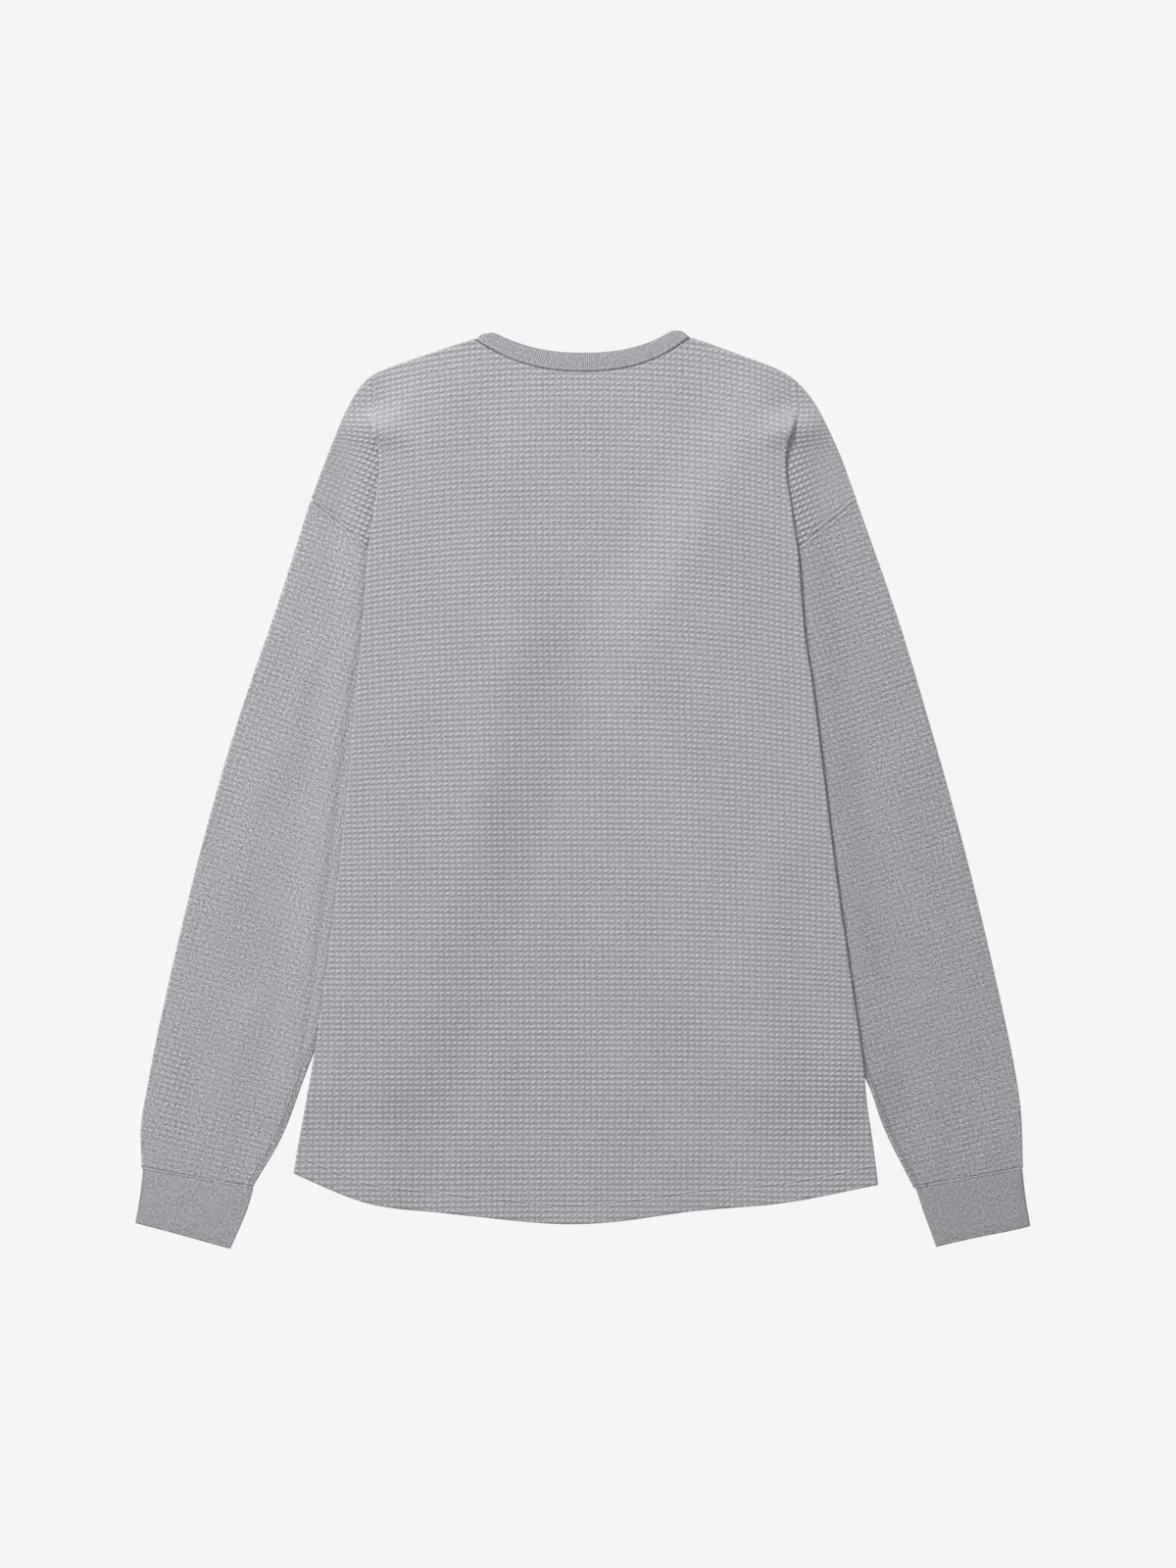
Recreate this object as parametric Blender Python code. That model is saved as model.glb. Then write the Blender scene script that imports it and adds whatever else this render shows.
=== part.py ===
"""Thermal top: a waffle-knit crew neck with long sleeves, laid flat with its back upwards.

+X is to the wearer's right, +Y runs from the hem to the neck and +Z is up. The origin is under the
middle of the whole outline, on the surface that the front lies on. Tables and functions work in
millimetres, and MM turns them into metres as each mesh is written.

Every cloth piece is a sheet: the middle surface of its wall, as points with normals, which is then
given its thickness. The sides of the body are tucked in like the gusset of a paper bag, and the
inner half of each sleeve lies in the tuck. From the surface up the plies there are: front, front's
tuck, sleeve's front, sleeve's back, back's tuck, back.
"""
from collections import Counter
from math import cos, exp, log, pi, sin

import bmesh
import bpy
from mathutils import Vector

MM = 0.001

# Cloth
WALL = 1.5                        # thickness of one ply
PLY_GAP = 0.4                     # air between plies that lie on each other
SEAM_GAP = 0.3                    # between the edges of pieces that are sewn together
PITCH = WALL + PLY_GAP            # from the middle of one ply to the middle of the next
FLOOR_PLY = WALL / 2              # height of the middle of the lowest ply
TURN = PITCH / 2                  # radius of a ply's middle where it folds back on itself
TURN_LENGTH = pi * TURN           # cloth used by one such fold
EDGE = TURN + WALL / 2            # from the centre of a fold to its outer face
TURN_STEPS = 3

# Neck and shoulders
NECK_HALF = 91.5                  # half the width of the neck, seam to seam
NECK_POINT_Y = 375.3              # height of the point where neck and shoulder meet
SHOULDER_SLOPE = 0.32             # fall of the shoulder for each millimetre outwards
SHOULDER_TIP = (228.4, 241.5)     # where the armhole seam reaches the outer edge
SLEEVE_HEAD_SLOPE = 2.6           # fall of the outer edge past the corner of the shoulder
SHOULDER_ROUND = 16.0             # how gently one slope runs into the other
BAND_WIDTH = 15.6                 # neck band, seam to edge
BAND_LEAN = 9.6                   # how far the band's side leans in over its width
BAND_RISE = 9.0                   # how far the band's side rises over its width

# Tuck of the sides
UNDERARM = (86.0, 128.0)          # innermost point of the armhole seam, inside the tuck
FOLD_START_Y = 314.0              # the fold begins to lift here
FOLD_FULL_Y = 289.0               # and has turned right under here
HEM_TUCK = 15.0                   # depth of the tuck at the hem
LEAST_STRAIGHT = 1.0              # flat cloth between the two turns where the fold begins
FOLD_EASE = 0.4                   # the back stands this much further off the front as the fold begins
LEAST_ANGLE = 0.01                # turn of the cloth where it lies flat, so that a radius exists
FRONT_SETBACK = 2.0               # the front's fold lies this far inside the back's
UNDERARM_CLEAR = 4.0              # from the innermost point of the armhole to the sleeve's edge
SAG_START = 30.0                  # the back stays level this far inside the tuck's inner edge
SAG_RUN = 75.0                    # and comes down onto the front over this distance
RISE_TOP_Y = 352.0                # the back begins to rise here, from the shoulders to the tuck
RISE_SIDE = 30.0                  # except this near its side fold, which it follows
SLEEVE_OUT_Y = (-300.0, -245.0)   # the sleeve leaves the tuck here, and the plies close up
COVER_RUN = (3.0, 16.0)           # outside the body's edge, where the sleeve comes down to the surface

# Body, a row for each height: y, half width at the side fold, lean of the middle towards +X
BODY = (
    (-335.0, 244.2, 3.6),
    (-238.0, 231.0, 4.8),
    (-77.0, 208.7, 4.0),
    (86.0, 190.6, 1.5),
    (128.0, 185.5, 0.0),
    (195.0, 180.0, 0.0),
    (245.0, 173.0, 0.0),
    (270.0, 169.8, 0.0),
    (289.0, 171.8, 0.0),
    (308.0, 178.0, 0.0),
    (350.0, 178.0, 0.0),
)

# Hem, a row for each place: x, y
HEM = (
    (-246.0, -319.0),
    (-182.0, -346.5),
    (-120.0, -354.5),
    (-30.0, -364.5),
    (20.0, -363.8),
    (90.0, -354.5),
    (160.0, -347.0),
    (252.0, -331.0),
)

# Sleeve, a row for each share of its length: share, outer x, outer y, inner x, inner y
SLEEVE = (
    (0.25, 275.6, 101.5, 131.0, 16.0),
    (0.50, 316.5, -38.5, 177.0, -101.0),
    (0.75, 350.3, -178.5, 223.5, -218.0),
    (0.90, 366.3, -262.5, 253.5, -288.0),
    (1.00, 369.0, -318.5, 277.5, -335.0),
)

# Cuff, below its seam: share of its length, outer x, outer y, inner x, inner y
CUFF = (
    (0.50, 371.0, -342.0, 284.5, -359.5),
    (1.00, 374.8, -364.0, 295.0, -384.5),
)
CUFF_STEP = 1.4                   # the rib draws in this far at each end of its seam

# Where the solids are sampled
NECK_SHARES = (0.0, 0.25, 0.5, 0.7, 0.87, 1.0)
SHOULDER_SHARES = (0.33, 0.67, 1.0)
TUCK_STEPS = 2
HEM_BAND = 15.0
BODY_HEIGHTS = (-285, -245, -190, -120, -50, 20, 80, UNDERARM[1], 165, 205, 245, 272,
                289, 295, 301, 307, 314, 328)
SLEEVE_SHARES = (0.0, 0.08, 0.17, 0.27, 0.38, 0.5, 0.62, 0.72, 0.78, 0.84, 0.9, 0.95, 1.0)
BAND_SHARES = (0.0, 0.5, 1.0)

# Necklines: how deep each dips, and the power of its curve
BACK_NECK = 26.4
FRONT_NECK = 105.0
BACK_POWER = 2.3
FRONT_POWER = 2.4

# Colour (linear) and roughness
WAFFLE = ((0.402, 0.386, 0.423), 0.92)
RIB = ((0.335, 0.322, 0.352), 0.9)


def smooth(share):
    """0 to 1 with level ends."""
    share = min(max(share, 0.0), 1.0)
    return share * share * (3.0 - 2.0 * share)


def mix(a, b, share):
    return a + (b - a) * share


def read(table, column, at):
    """A table's column at a value of its first column, on a smooth curve through the rows."""
    last = len(table) - 1
    k = 0
    while k < last - 1 and at > table[k + 1][0]:
        k += 1
    low, high = table[k], table[k + 1]
    before, after = table[max(k - 1, 0)], table[min(k + 2, last)]
    span = high[0] - low[0]
    share = min(max((at - low[0]) / span, 0.0), 1.0)
    slope_low = (high[column] - before[column]) / (high[0] - before[0]) * span
    slope_high = (after[column] - low[column]) / (after[0] - low[0]) * span
    square, cube = share ** 2, share ** 3
    return (low[column] * (2 * cube - 3 * square + 1) + slope_low * (cube - 2 * square + share)
            + high[column] * (3 * square - 2 * cube) + slope_high * (cube - square))


# Heights of the plies and depth of the tuck

def half_width(y):
    return read(BODY, 1, y)


def lean(y):
    return read(BODY, 2, y)


def tuck(y):
    """Depth of the side's tuck."""
    deepest = half_width(UNDERARM[1]) - UNDERARM[0]
    if y >= UNDERARM[1]:
        return deepest * min(max((FOLD_FULL_Y - y) / (FOLD_FULL_Y - UNDERARM[1]), 0.0), 1.0)
    return mix(HEM_TUCK, deepest, (y - BODY[0][0]) / (UNDERARM[1] - BODY[0][0]))


def fold_angle(y):
    """How far the side has turned: near 0 where it lies flat, pi where it lies under itself."""
    return mix(LEAST_ANGLE, pi, smooth((FOLD_START_Y - y) / (FOLD_START_Y - FOLD_FULL_Y)))


def straight(y):
    """Flat cloth between the two turns of the fold."""
    return max(LEAST_STRAIGHT, tuck(y) - EDGE)


def drop(y):
    """Height between a panel and its cloth past the fold."""
    angle = fold_angle(y)
    return 2 * TURN_LENGTH / angle * (1 - cos(angle)) + straight(y) * sin(angle)


def packed(y):
    """1 where the sleeve lies in the tuck, 0 below it."""
    return smooth((y - SLEEVE_OUT_Y[0]) / (SLEEVE_OUT_Y[1] - SLEEVE_OUT_Y[0]))


def outside(x, y):
    """Distance outside the body's side fold."""
    side = 1 if x > 0 else -1
    return side * (x - lean(y)) - half_width(y)


def lift(x, y):
    """How far the front's tuck lifts a sleeve, or the cloth past the fold, off the surface."""
    near, far = COVER_RUN
    return drop(y) * packed(y) * smooth((far - outside(x, y)) / (far - near))


def ease(y):
    """Extra air between back and front where the fold begins."""
    return FOLD_EASE * sin(fold_angle(y))


def fold_level(y):
    """Height of the back at its side folds."""
    return FLOOR_PLY + PITCH + ease(y) + 2 * drop(y) - 2 * PITCH * (1 - packed(y))


def back_level(out, y):
    """Height of the back, which comes down onto the front between the tucks and at the shoulders."""
    low = FLOOR_PLY + PITCH
    high = fold_level(y)
    if y > FOLD_FULL_Y:
        rise = smooth((RISE_TOP_Y - y) / (RISE_TOP_Y - FOLD_FULL_Y))
        away = smooth((half_width(y) - out) / RISE_SIDE)
        high = mix(high, mix(low, fold_level(FOLD_FULL_Y), rise), away)
    start = half_width(y) - tuck(y) - SAG_START
    run = min(SAG_RUN, start)
    return mix(low, high, smooth((out - start + run) / run))


# Outlines

def shoulder_y(x):
    """Outer edge of the panels from the neck point to the shoulder's tip."""
    gentle = NECK_POINT_Y - SHOULDER_SLOPE * (abs(x) - NECK_HALF)
    steep = SHOULDER_TIP[1] - SLEEVE_HEAD_SLOPE * (abs(x) - SHOULDER_TIP[0])
    return -SHOULDER_ROUND * log(exp(-gentle / SHOULDER_ROUND) + exp(-steep / SHOULDER_ROUND))


def top_y(x, neck_drop, power):
    """Upper edge of a panel: its neckline, and then the shoulder."""
    if abs(x) < NECK_HALF:
        start = shoulder_y(NECK_HALF)
        return start - neck_drop * (1 - (abs(x) / NECK_HALF) ** power)
    return shoulder_y(x)


def hem_y(x):
    return read(HEM, 1, x)


# Sheets of cloth

class Sheet:
    """The middle surface of a cloth piece."""

    def __init__(self):
        self.points = []
        self.normals = []
        self.faces = []

    def point(self, x, y, z, normal):
        self.points.append(Vector((x, y, z)))
        self.normals.append(Vector(normal).normalized())
        return len(self.points) - 1

    def quads(self, grid):
        """Faces between neighbouring rows of point numbers; repeated points close to triangles."""
        for low, high in zip(grid, grid[1:]):
            for k in range(len(low) - 1):
                corners = list(dict.fromkeys((low[k], low[k + 1], high[k + 1], high[k])))
                if len(corners) > 2:
                    self.faces.append(corners)

    def solid(self, name, material):
        """The sheet with its thickness, as one closed object."""
        count = len(self.points)
        mesh = bmesh.new()
        for side in (WALL / 2, -WALL / 2):
            for place, normal in zip(self.points, self.normals):
                mesh.verts.new((place + normal * side) * MM)
        mesh.verts.ensure_lookup_table()
        edges = Counter()
        for face in self.faces:
            mesh.faces.new([mesh.verts[k] for k in face])
            mesh.faces.new([mesh.verts[k + count] for k in reversed(face)])
            edges.update(frozenset(pair) for pair in zip(face, face[1:] + face[:1]))
        for edge, uses in edges.items():
            if uses == 1:
                a, b = edge
                mesh.faces.new([mesh.verts[k] for k in (a, b, b + count, a + count)])
        bmesh.ops.recalc_face_normals(mesh, faces=mesh.faces)
        data = bpy.data.meshes.new(name)
        mesh.to_mesh(data)
        mesh.free()
        data.materials.append(material)
        item = bpy.data.objects.new(name, data)
        bpy.context.collection.objects.link(item)
        return item


# Body panels

def section(y, setback):
    """A panel's half section at one height, middle to innermost cloth: out, down and heading.

    Down is the distance from the panel's own height towards the other panel. Heading is 0 where
    the cloth runs outwards and pi where it runs back under itself.
    """
    angle = fold_angle(y)
    depth = max(straight(y) - setback, LEAST_STRAIGHT)
    radius = TURN_LENGTH / angle
    start = half_width(y) - setback - WALL / 2 - radius * sin(min(angle, pi / 2))
    neck = NECK_HALF * max(half_width(y) / BODY[-1][1], 1.0)
    nodes = [(share * neck, 0.0, 0.0) for share in NECK_SHARES]
    nodes += [(mix(neck, start, share), 0.0, 0.0) for share in SHOULDER_SHARES]
    for k in range(1, TURN_STEPS + 1):
        heading = angle * k / TURN_STEPS
        nodes.append((start + radius * sin(heading), radius * (1 - cos(heading)), heading))
    out, down, _ = nodes[-1]
    for k in range(1, TUCK_STEPS + 1):
        run = depth * k / TUCK_STEPS
        nodes.append((out + run * cos(angle), down + run * sin(angle), angle))
    out, down, _ = nodes[-1]
    end = 0.0
    if y < UNDERARM[1]:
        end = pi / 2
        radius = (2 * PITCH * packed(y) + PITCH - SEAM_GAP) / 2
    for k in range(1, TURN_STEPS + 1):
        heading = mix(angle, end, k / TURN_STEPS)
        nodes.append((out + radius * (sin(angle) - sin(heading)),
                      down + radius * (cos(heading) - cos(angle)), heading))
    return nodes


def panel(name, material, back):
    """Back or front: the panel, its tucked sides and the cloth past the folds."""
    setback = 0.0 if back else FRONT_SETBACK
    neck_drop, power = (BACK_NECK, BACK_POWER) if back else (FRONT_NECK, FRONT_POWER)
    facing = 1 if back else -1
    base = FLOOR_PLY + (PITCH if back else 0.0)
    columns = len(section(0.0, setback))
    fold_column = len(NECK_SHARES) + len(SHOULDER_SHARES) - 1

    def place(side, column, y):
        out, down, heading = section(y, setback)[column]
        z = back_level(out, y) if back and column < fold_column else fold_level(y) if back else FLOOR_PLY
        return lean(y) + side * out, z - facing * down, heading

    def column_end(side, column, guess, edge):
        for _ in range(8):
            guess = edge(place(side, column, guess)[0])
        return guess

    def ends(side, column):
        low = column_end(side, column, BODY[0][0], hem_y)
        high = column_end(side, column, BODY[-1][0], lambda x: top_y(x, neck_drop, power))
        return low, high

    low, high = ends(1, fold_column)
    shares = [0.0, HEM_BAND / (high - low)]
    shares += [(y - low) / (high - low) for y in BODY_HEIGHTS] + [1.0]
    underarm_row = 2 + BODY_HEIGHTS.index(UNDERARM[1])
    sheet = Sheet()
    rows = [[] for _ in shares]
    halves = {}
    for side in (-1, 1):
        first = 1 if side == 1 else 0
        for column in range(first, columns):
            low, high = ends(side, column)
            numbers = []
            for row, share in enumerate(shares):
                y = mix(low, high, share)
                if row >= underarm_row and column >= fold_column:
                    y = max(y, UNDERARM[1])
                x, z, heading = place(side, column, y)
                normal = (side * sin(heading), 0.0, facing * cos(heading))
                numbers.append(sheet.point(x, y, z, normal))
            halves[side, column] = numbers
    for row in range(len(shares)):
        rows[row] = [halves[-1, k][row] for k in reversed(range(columns))]
        rows[row] += [halves[1, k][row] for k in range(1, columns)]
    sheet.quads(rows)

    for side in (-1, 1):
        tip = (side * SHOULDER_TIP[0], SHOULDER_TIP[1])
        tip_number = sheet.point(*tip, base, (0, 0, facing))
        fan = []
        last = halves[side, columns - 1]
        top = sheet.points[last[-1]]
        for row in range(underarm_row, len(shares)):
            share = (row - underarm_row) / (len(shares) - 1 - underarm_row)
            inner = sheet.points[last[row]]
            numbers = [tip_number]
            for reach in ply_reaches(tip, inner):
                x = mix(tip[0], inner.x, reach)
                y = mix(tip[1], inner.y, reach)
                edge_x = mix(tip[0], top.x, reach)
                y += share * (shoulder_y(edge_x) - mix(tip[1], top.y, reach))
                z = base + lift(x, y) + (ease(y) if back else 0.0)
                numbers.append(sheet.point(x, y, z, (0, 0, facing)))
            fan.append(numbers + [last[row]])
        sheet.quads(fan)
    return sheet.solid(name, material)


def ply_reaches(outer, inner):
    """Shares of the way from an outer point to an inner one where a ply bends over the body's edge."""
    far = edge_share(outer, inner, COVER_RUN[1])
    near = edge_share(outer, inner, COVER_RUN[0])
    far = min(max(far, 0.2), 0.72)
    near = min(max(near, far + 0.08), 0.92)
    return far / 2, far, near


def edge_share(outer, inner, distance):
    """Share of the way from outer to inner where the line is this far outside the body's fold."""
    low, high = 0.0, 1.0
    for _ in range(24):
        middle = (low + high) / 2
        x, y = mix(outer[0], inner[0], middle), mix(outer[1], inner[1], middle)
        if outside(x, y) > distance:
            low = middle
        else:
            high = middle
    return low


# Sleeves and cuffs

def next_piece_ends(outer, inner, draw_outer, draw_inner):
    """Ends of an edge moved SEAM_GAP past another, and drawn in along it."""
    along = (Vector(inner) - Vector(outer)).normalized()
    across = Vector((-along.y, along.x)) * SEAM_GAP
    return Vector(outer) + across + along * draw_outer, Vector(inner) + across - along * draw_inner


def tube(name, material, side, table, shares, first):
    """A flat tube lying between its outer and its inner edge, open at both ends."""
    rows = ((0.0, *first[0], *first[1]),) + table
    sheet = Sheet()
    grid = []
    for share in shares:
        outer = Vector((read(rows, 1, share) * side, read(rows, 2, share)))
        inner = Vector((read(rows, 3, share) * side, read(rows, 4, share)))
        along = (inner - outer).normalized()
        first_fold = outer + along * EDGE
        last_fold = inner - along * EDGE
        bends = [outer.lerp(inner, reach) for reach in ply_reaches(outer, inner)]
        upper = [first_fold] + bends[1:] + [bends[-1].lerp(last_fold, 0.5), last_fold]
        ring = []

        def ply(places, up):
            for place in places:
                z = FLOOR_PLY + (PITCH if up > 0 else 0.0) + lift(place.x, place.y)
                ring.append(sheet.point(place.x, place.y, z, (0, 0, up)))

        def turn(centre, direction, up):
            middle = FLOOR_PLY + TURN + lift(centre.x, centre.y)
            for k in range(1, TURN_STEPS):
                angle = pi * k / TURN_STEPS
                place = centre + direction * TURN * sin(angle)
                normal = (direction.x * sin(angle), direction.y * sin(angle), up * cos(angle))
                ring.append(sheet.point(place.x, place.y, middle + up * TURN * cos(angle), normal))

        ply(upper, 1)
        turn(last_fold, along, 1)
        ply(reversed(upper), -1)
        turn(first_fold, -along, -1)
        grid.append(ring + ring[:1])
    sheet.quads(grid)
    return sheet.solid(name, material)


# Neck band

def neck_band(name, material):
    """Ring of rib: its back part stands on the back's neckline, its front part lies under it."""
    sheet = Sheet()
    grid = []
    shoulder = shoulder_y(NECK_HALF)
    for share in BAND_SHARES:
        half = NECK_HALF - SEAM_GAP - share * BAND_LEAN
        side_y = shoulder + SEAM_GAP + share * BAND_RISE
        back_y = shoulder - BACK_NECK + SEAM_GAP + share * BAND_WIDTH
        front_y = shoulder - FRONT_NECK + SEAM_GAP + share * BAND_WIDTH
        steps = list(NECK_SHARES[:-1]) + [(half - EDGE) / half]
        ring = []

        def arc(x_shares, middle_y, power, z, up):
            for x_share in x_shares:
                y = mix(middle_y, side_y, abs(x_share) ** power)
                ring.append(sheet.point(x_share * half, y, z, (0, 0, up)))

        def turn(side):
            for k in range(1, TURN_STEPS):
                angle = pi * k / TURN_STEPS
                x = side * (half - EDGE + TURN * sin(angle))
                z = FLOOR_PLY + TURN + side * TURN * cos(angle)
                ring.append(sheet.point(x, side_y, z, (side * sin(angle), 0, side * cos(angle))))

        left_to_right = [-step for step in reversed(steps)] + steps[1:]
        arc(left_to_right, back_y, BACK_POWER, FLOOR_PLY + PITCH, 1)
        turn(1)
        arc(reversed(left_to_right), front_y, FRONT_POWER, FLOOR_PLY, -1)
        turn(-1)
        grid.append(ring + ring[:1])
    sheet.quads(grid)
    return sheet.solid(name, material)


def cloth(name, look):
    colour, roughness = look
    material = bpy.data.materials.new(name)
    material.use_nodes = True
    shader = material.node_tree.nodes["Principled BSDF"]
    shader.inputs["Base Color"].default_value = (*colour, 1.0)
    shader.inputs["Roughness"].default_value = roughness
    shader.inputs["Metallic"].default_value = 0.0
    return material


def main():
    for item in list(bpy.data.objects):
        bpy.data.objects.remove(item, do_unlink=True)
    waffle = cloth("waffle_knit", WAFFLE)
    rib = cloth("rib_knit", RIB)
    panel("back", waffle, back=True)
    panel("front", waffle, back=False)
    armhole = next_piece_ends(SHOULDER_TIP, UNDERARM, 0.0, UNDERARM_CLEAR)
    cuff_seam = next_piece_ends(SLEEVE[-1][1:3], SLEEVE[-1][3:5], CUFF_STEP, CUFF_STEP)
    for side, word in ((-1, "left"), (1, "right")):
        tube("sleeve_" + word, waffle, side, SLEEVE, SLEEVE_SHARES, armhole)
        tube("cuff_" + word, rib, side, CUFF, BAND_SHARES, cuff_seam)
    neck_band("neck_band", rib)


main()
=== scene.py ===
"""Thermal top laid flat with its back upwards: the looks of each cloth piece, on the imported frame.

Tables and functions work in millimetres. +X is to the wearer's right, +Y from the hem to the neck.
Each piece is one layer of cloth, the outer face of its CAD solid, with its free edges turned in.
"""

import bpy
import numpy as np
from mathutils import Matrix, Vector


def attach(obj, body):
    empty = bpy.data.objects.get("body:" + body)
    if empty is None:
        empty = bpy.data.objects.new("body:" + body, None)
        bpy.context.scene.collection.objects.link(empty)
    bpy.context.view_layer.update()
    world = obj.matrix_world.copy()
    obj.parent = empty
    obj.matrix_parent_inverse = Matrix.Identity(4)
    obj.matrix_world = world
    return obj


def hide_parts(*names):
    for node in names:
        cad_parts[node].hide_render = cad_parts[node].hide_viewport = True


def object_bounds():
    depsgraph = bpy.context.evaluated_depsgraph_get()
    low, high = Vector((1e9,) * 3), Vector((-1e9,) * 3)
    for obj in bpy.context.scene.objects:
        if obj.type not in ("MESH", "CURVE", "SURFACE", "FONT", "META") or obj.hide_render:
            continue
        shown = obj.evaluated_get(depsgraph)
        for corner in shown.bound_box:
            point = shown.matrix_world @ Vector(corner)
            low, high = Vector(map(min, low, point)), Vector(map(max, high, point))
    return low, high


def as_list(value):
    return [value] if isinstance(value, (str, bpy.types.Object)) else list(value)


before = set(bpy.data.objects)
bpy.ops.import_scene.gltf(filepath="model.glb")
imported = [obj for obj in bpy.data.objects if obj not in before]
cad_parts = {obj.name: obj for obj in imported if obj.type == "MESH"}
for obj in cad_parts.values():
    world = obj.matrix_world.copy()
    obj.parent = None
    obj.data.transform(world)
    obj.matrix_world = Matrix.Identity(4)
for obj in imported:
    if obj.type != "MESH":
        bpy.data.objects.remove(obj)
bounds_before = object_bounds()

MM = 0.001
PI = np.pi

# ---------------------------------------------------------------- sizes shared with the CAD
WALL = 1.5
PLY_GAP = 0.4
SEAM_GAP = 0.3
PITCH = WALL + PLY_GAP
FLOOR_PLY = WALL / 2
TURN = PITCH / 2
TURN_LENGTH = PI * TURN
EDGE = TURN + WALL / 2
NECK_HALF = 91.5
NECK_POINT_Y = 375.3
SHOULDER_SLOPE = 0.32
SHOULDER_TIP = (228.4, 241.5)
SLEEVE_HEAD_SLOPE = 2.6
SHOULDER_ROUND = 16.0
SHOULDER_REACH = 262.0            # the shoulder's line is worked out this far
BAND_WIDTH = 15.6
BAND_LEAN = 9.6
BAND_RISE = 9.0
UNDERARM = (86.0, 128.0)
FOLD_START_Y = 324.0
FOLD_FULL_Y = 279.0
HEM_TUCK = 15.0
LEAST_STRAIGHT = 1.0
FOLD_EASE = 0.4
LEAST_ANGLE = 0.01
FRONT_SETBACK = 2.0
UNDERARM_CLEAR = 4.0
SAG_START = 30.0
SAG_RUN = 75.0
RISE_TOP_Y = 366.0
RISE_SIDE = 30.0
RISE_MARGIN = 6.0
SLEEVE_OUT_Y = (-300.0, -245.0)
COVER_RUN = (3.0, 34.0)
BACK_NECK = 26.4
FRONT_NECK = 105.0
BACK_POWER = 2.3
FRONT_POWER = 2.4
CUFF_STEP = 0.7

# Body: y, half width at the side fold, lean of the middle towards +X
BODY = (
    (-335.0, 244.2, 3.6),
    (-238.0, 231.0, 4.8),
    (-77.0, 208.7, 4.0),
    (86.0, 190.6, 1.5),
    (128.0, 185.5, 0.0),
    (195.0, 180.0, 0.0),
    (245.0, 173.0, 0.0),
    (270.0, 169.8, 0.0),
    (289.0, 171.8, 0.0),
    (308.0, 178.0, 0.0),
    (350.0, 178.0, 0.0),
)
# Hem: x, y
HEM = (
    (-246.0, -319.0),
    (-182.0, -346.5),
    (-120.0, -354.5),
    (-30.0, -364.5),
    (20.0, -363.8),
    (90.0, -354.5),
    (160.0, -347.0),
    (252.0, -331.0),
)
# Sleeve: share of its length, outer x, outer y, inner x, inner y
SLEEVE = (
    (0.25, 275.6, 101.5, 131.0, 16.0),
    (0.50, 316.5, -38.5, 177.0, -101.0),
    (0.75, 350.3, -178.5, 223.5, -218.0),
    (0.90, 366.3, -262.5, 253.5, -288.0),
    (1.00, 369.0, -318.5, 277.5, -335.0),
)
# Cuff: share of its length, outer x, outer y, inner x, inner y
CUFF = (
    (0.50, 371.0, -342.0, 284.5, -359.5),
    (1.00, 374.8, -364.0, 295.0, -384.5),
)

# ---------------------------------------------------------------- the knit and how it is sampled
CELL_ACROSS = 5.1                 # waffle repeat, mm
CELL_ALONG = 4.65
STEP_ACROSS = CELL_ACROSS / 2
STEP_ALONG = CELL_ALONG / 2
RELIEF = 0.42                     # height of the waffle's nubs in the mesh
NECK_RIB = 2.05                   # rib pitches
CUFF_RIB = 1.75
HEM_DEPTH = 15.0
FOLD_MARGIN = 1.2                 # the grid's free columns stop this far inside a side fold
FRONT_EVERY = 4                   # the plain front's grid is this many times coarser
LEVELS_FROM, LEVELS_SPAN = -380.0, 810.0
WIDEST = 250.0                    # how far out the panels' free columns go
SLEEVE_COLUMNS = int(100 / STEP_ACROSS)
HEM_ROUND = 0.7                   # radii of the turned edges
SEAM_ROUND = 0.3
SHOULDER_EDGE = EDGE - 0.05
SUNK = 0.35                       # the share of a nub's height that lies below the even cloth
CUFF_LENGTH = 46.0
FAR = 99.0                        # stands for not being near an edge
# The rows' arch over the body, and the swing of the cloth past the folds
ARCH_DEPTH, ARCH_REACH, ARCH_POWER = 67.0, 160.0, 2.4
SWING, SWING_AT = 0.42, (176.0, 306.0)
# Where the columns stand round a panel's side fold, on the runs past it, and round a sleeve's
TURN_SHARES = (-0.7 / TURN_LENGTH, 0.0, 0.12, 0.25, 0.38, 0.5, 0.62, 0.75, 0.88, 1.0)
THIRDS = (0.33, 0.67, 1.0)
SLEEVE_TURN_SHARES = (-0.4, 0.0, 0.14, 0.28, 0.42, 0.56, 0.7, 0.85, 1.0)

# Soft creases of the back: x and y of each end, half width, height
BACK_CREASES = (
    (-84.0, 120.0, -70.0, -330.0, 20.0, 1.5),
    (148.0, 60.0, 158.0, -330.0, 22.0, 1.3),
    (34.0, -60.0, 46.0, -345.0, 24.0, 1.0),
    (-150.0, 40.0, -176.0, -320.0, 16.0, 0.9),
    (-30.0, 330.0, -70.0, 190.0, 30.0, 0.9),
    (60.0, 320.0, 120.0, 170.0, 30.0, 0.9),
    (-120.0, 290.0, -40.0, 230.0, 14.0, 0.6),
    (196.0, -190.0, 226.0, -300.0, 10.0, 1.1),
    (-196.0, -120.0, -214.0, -290.0, 10.0, 0.9),
)
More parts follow.
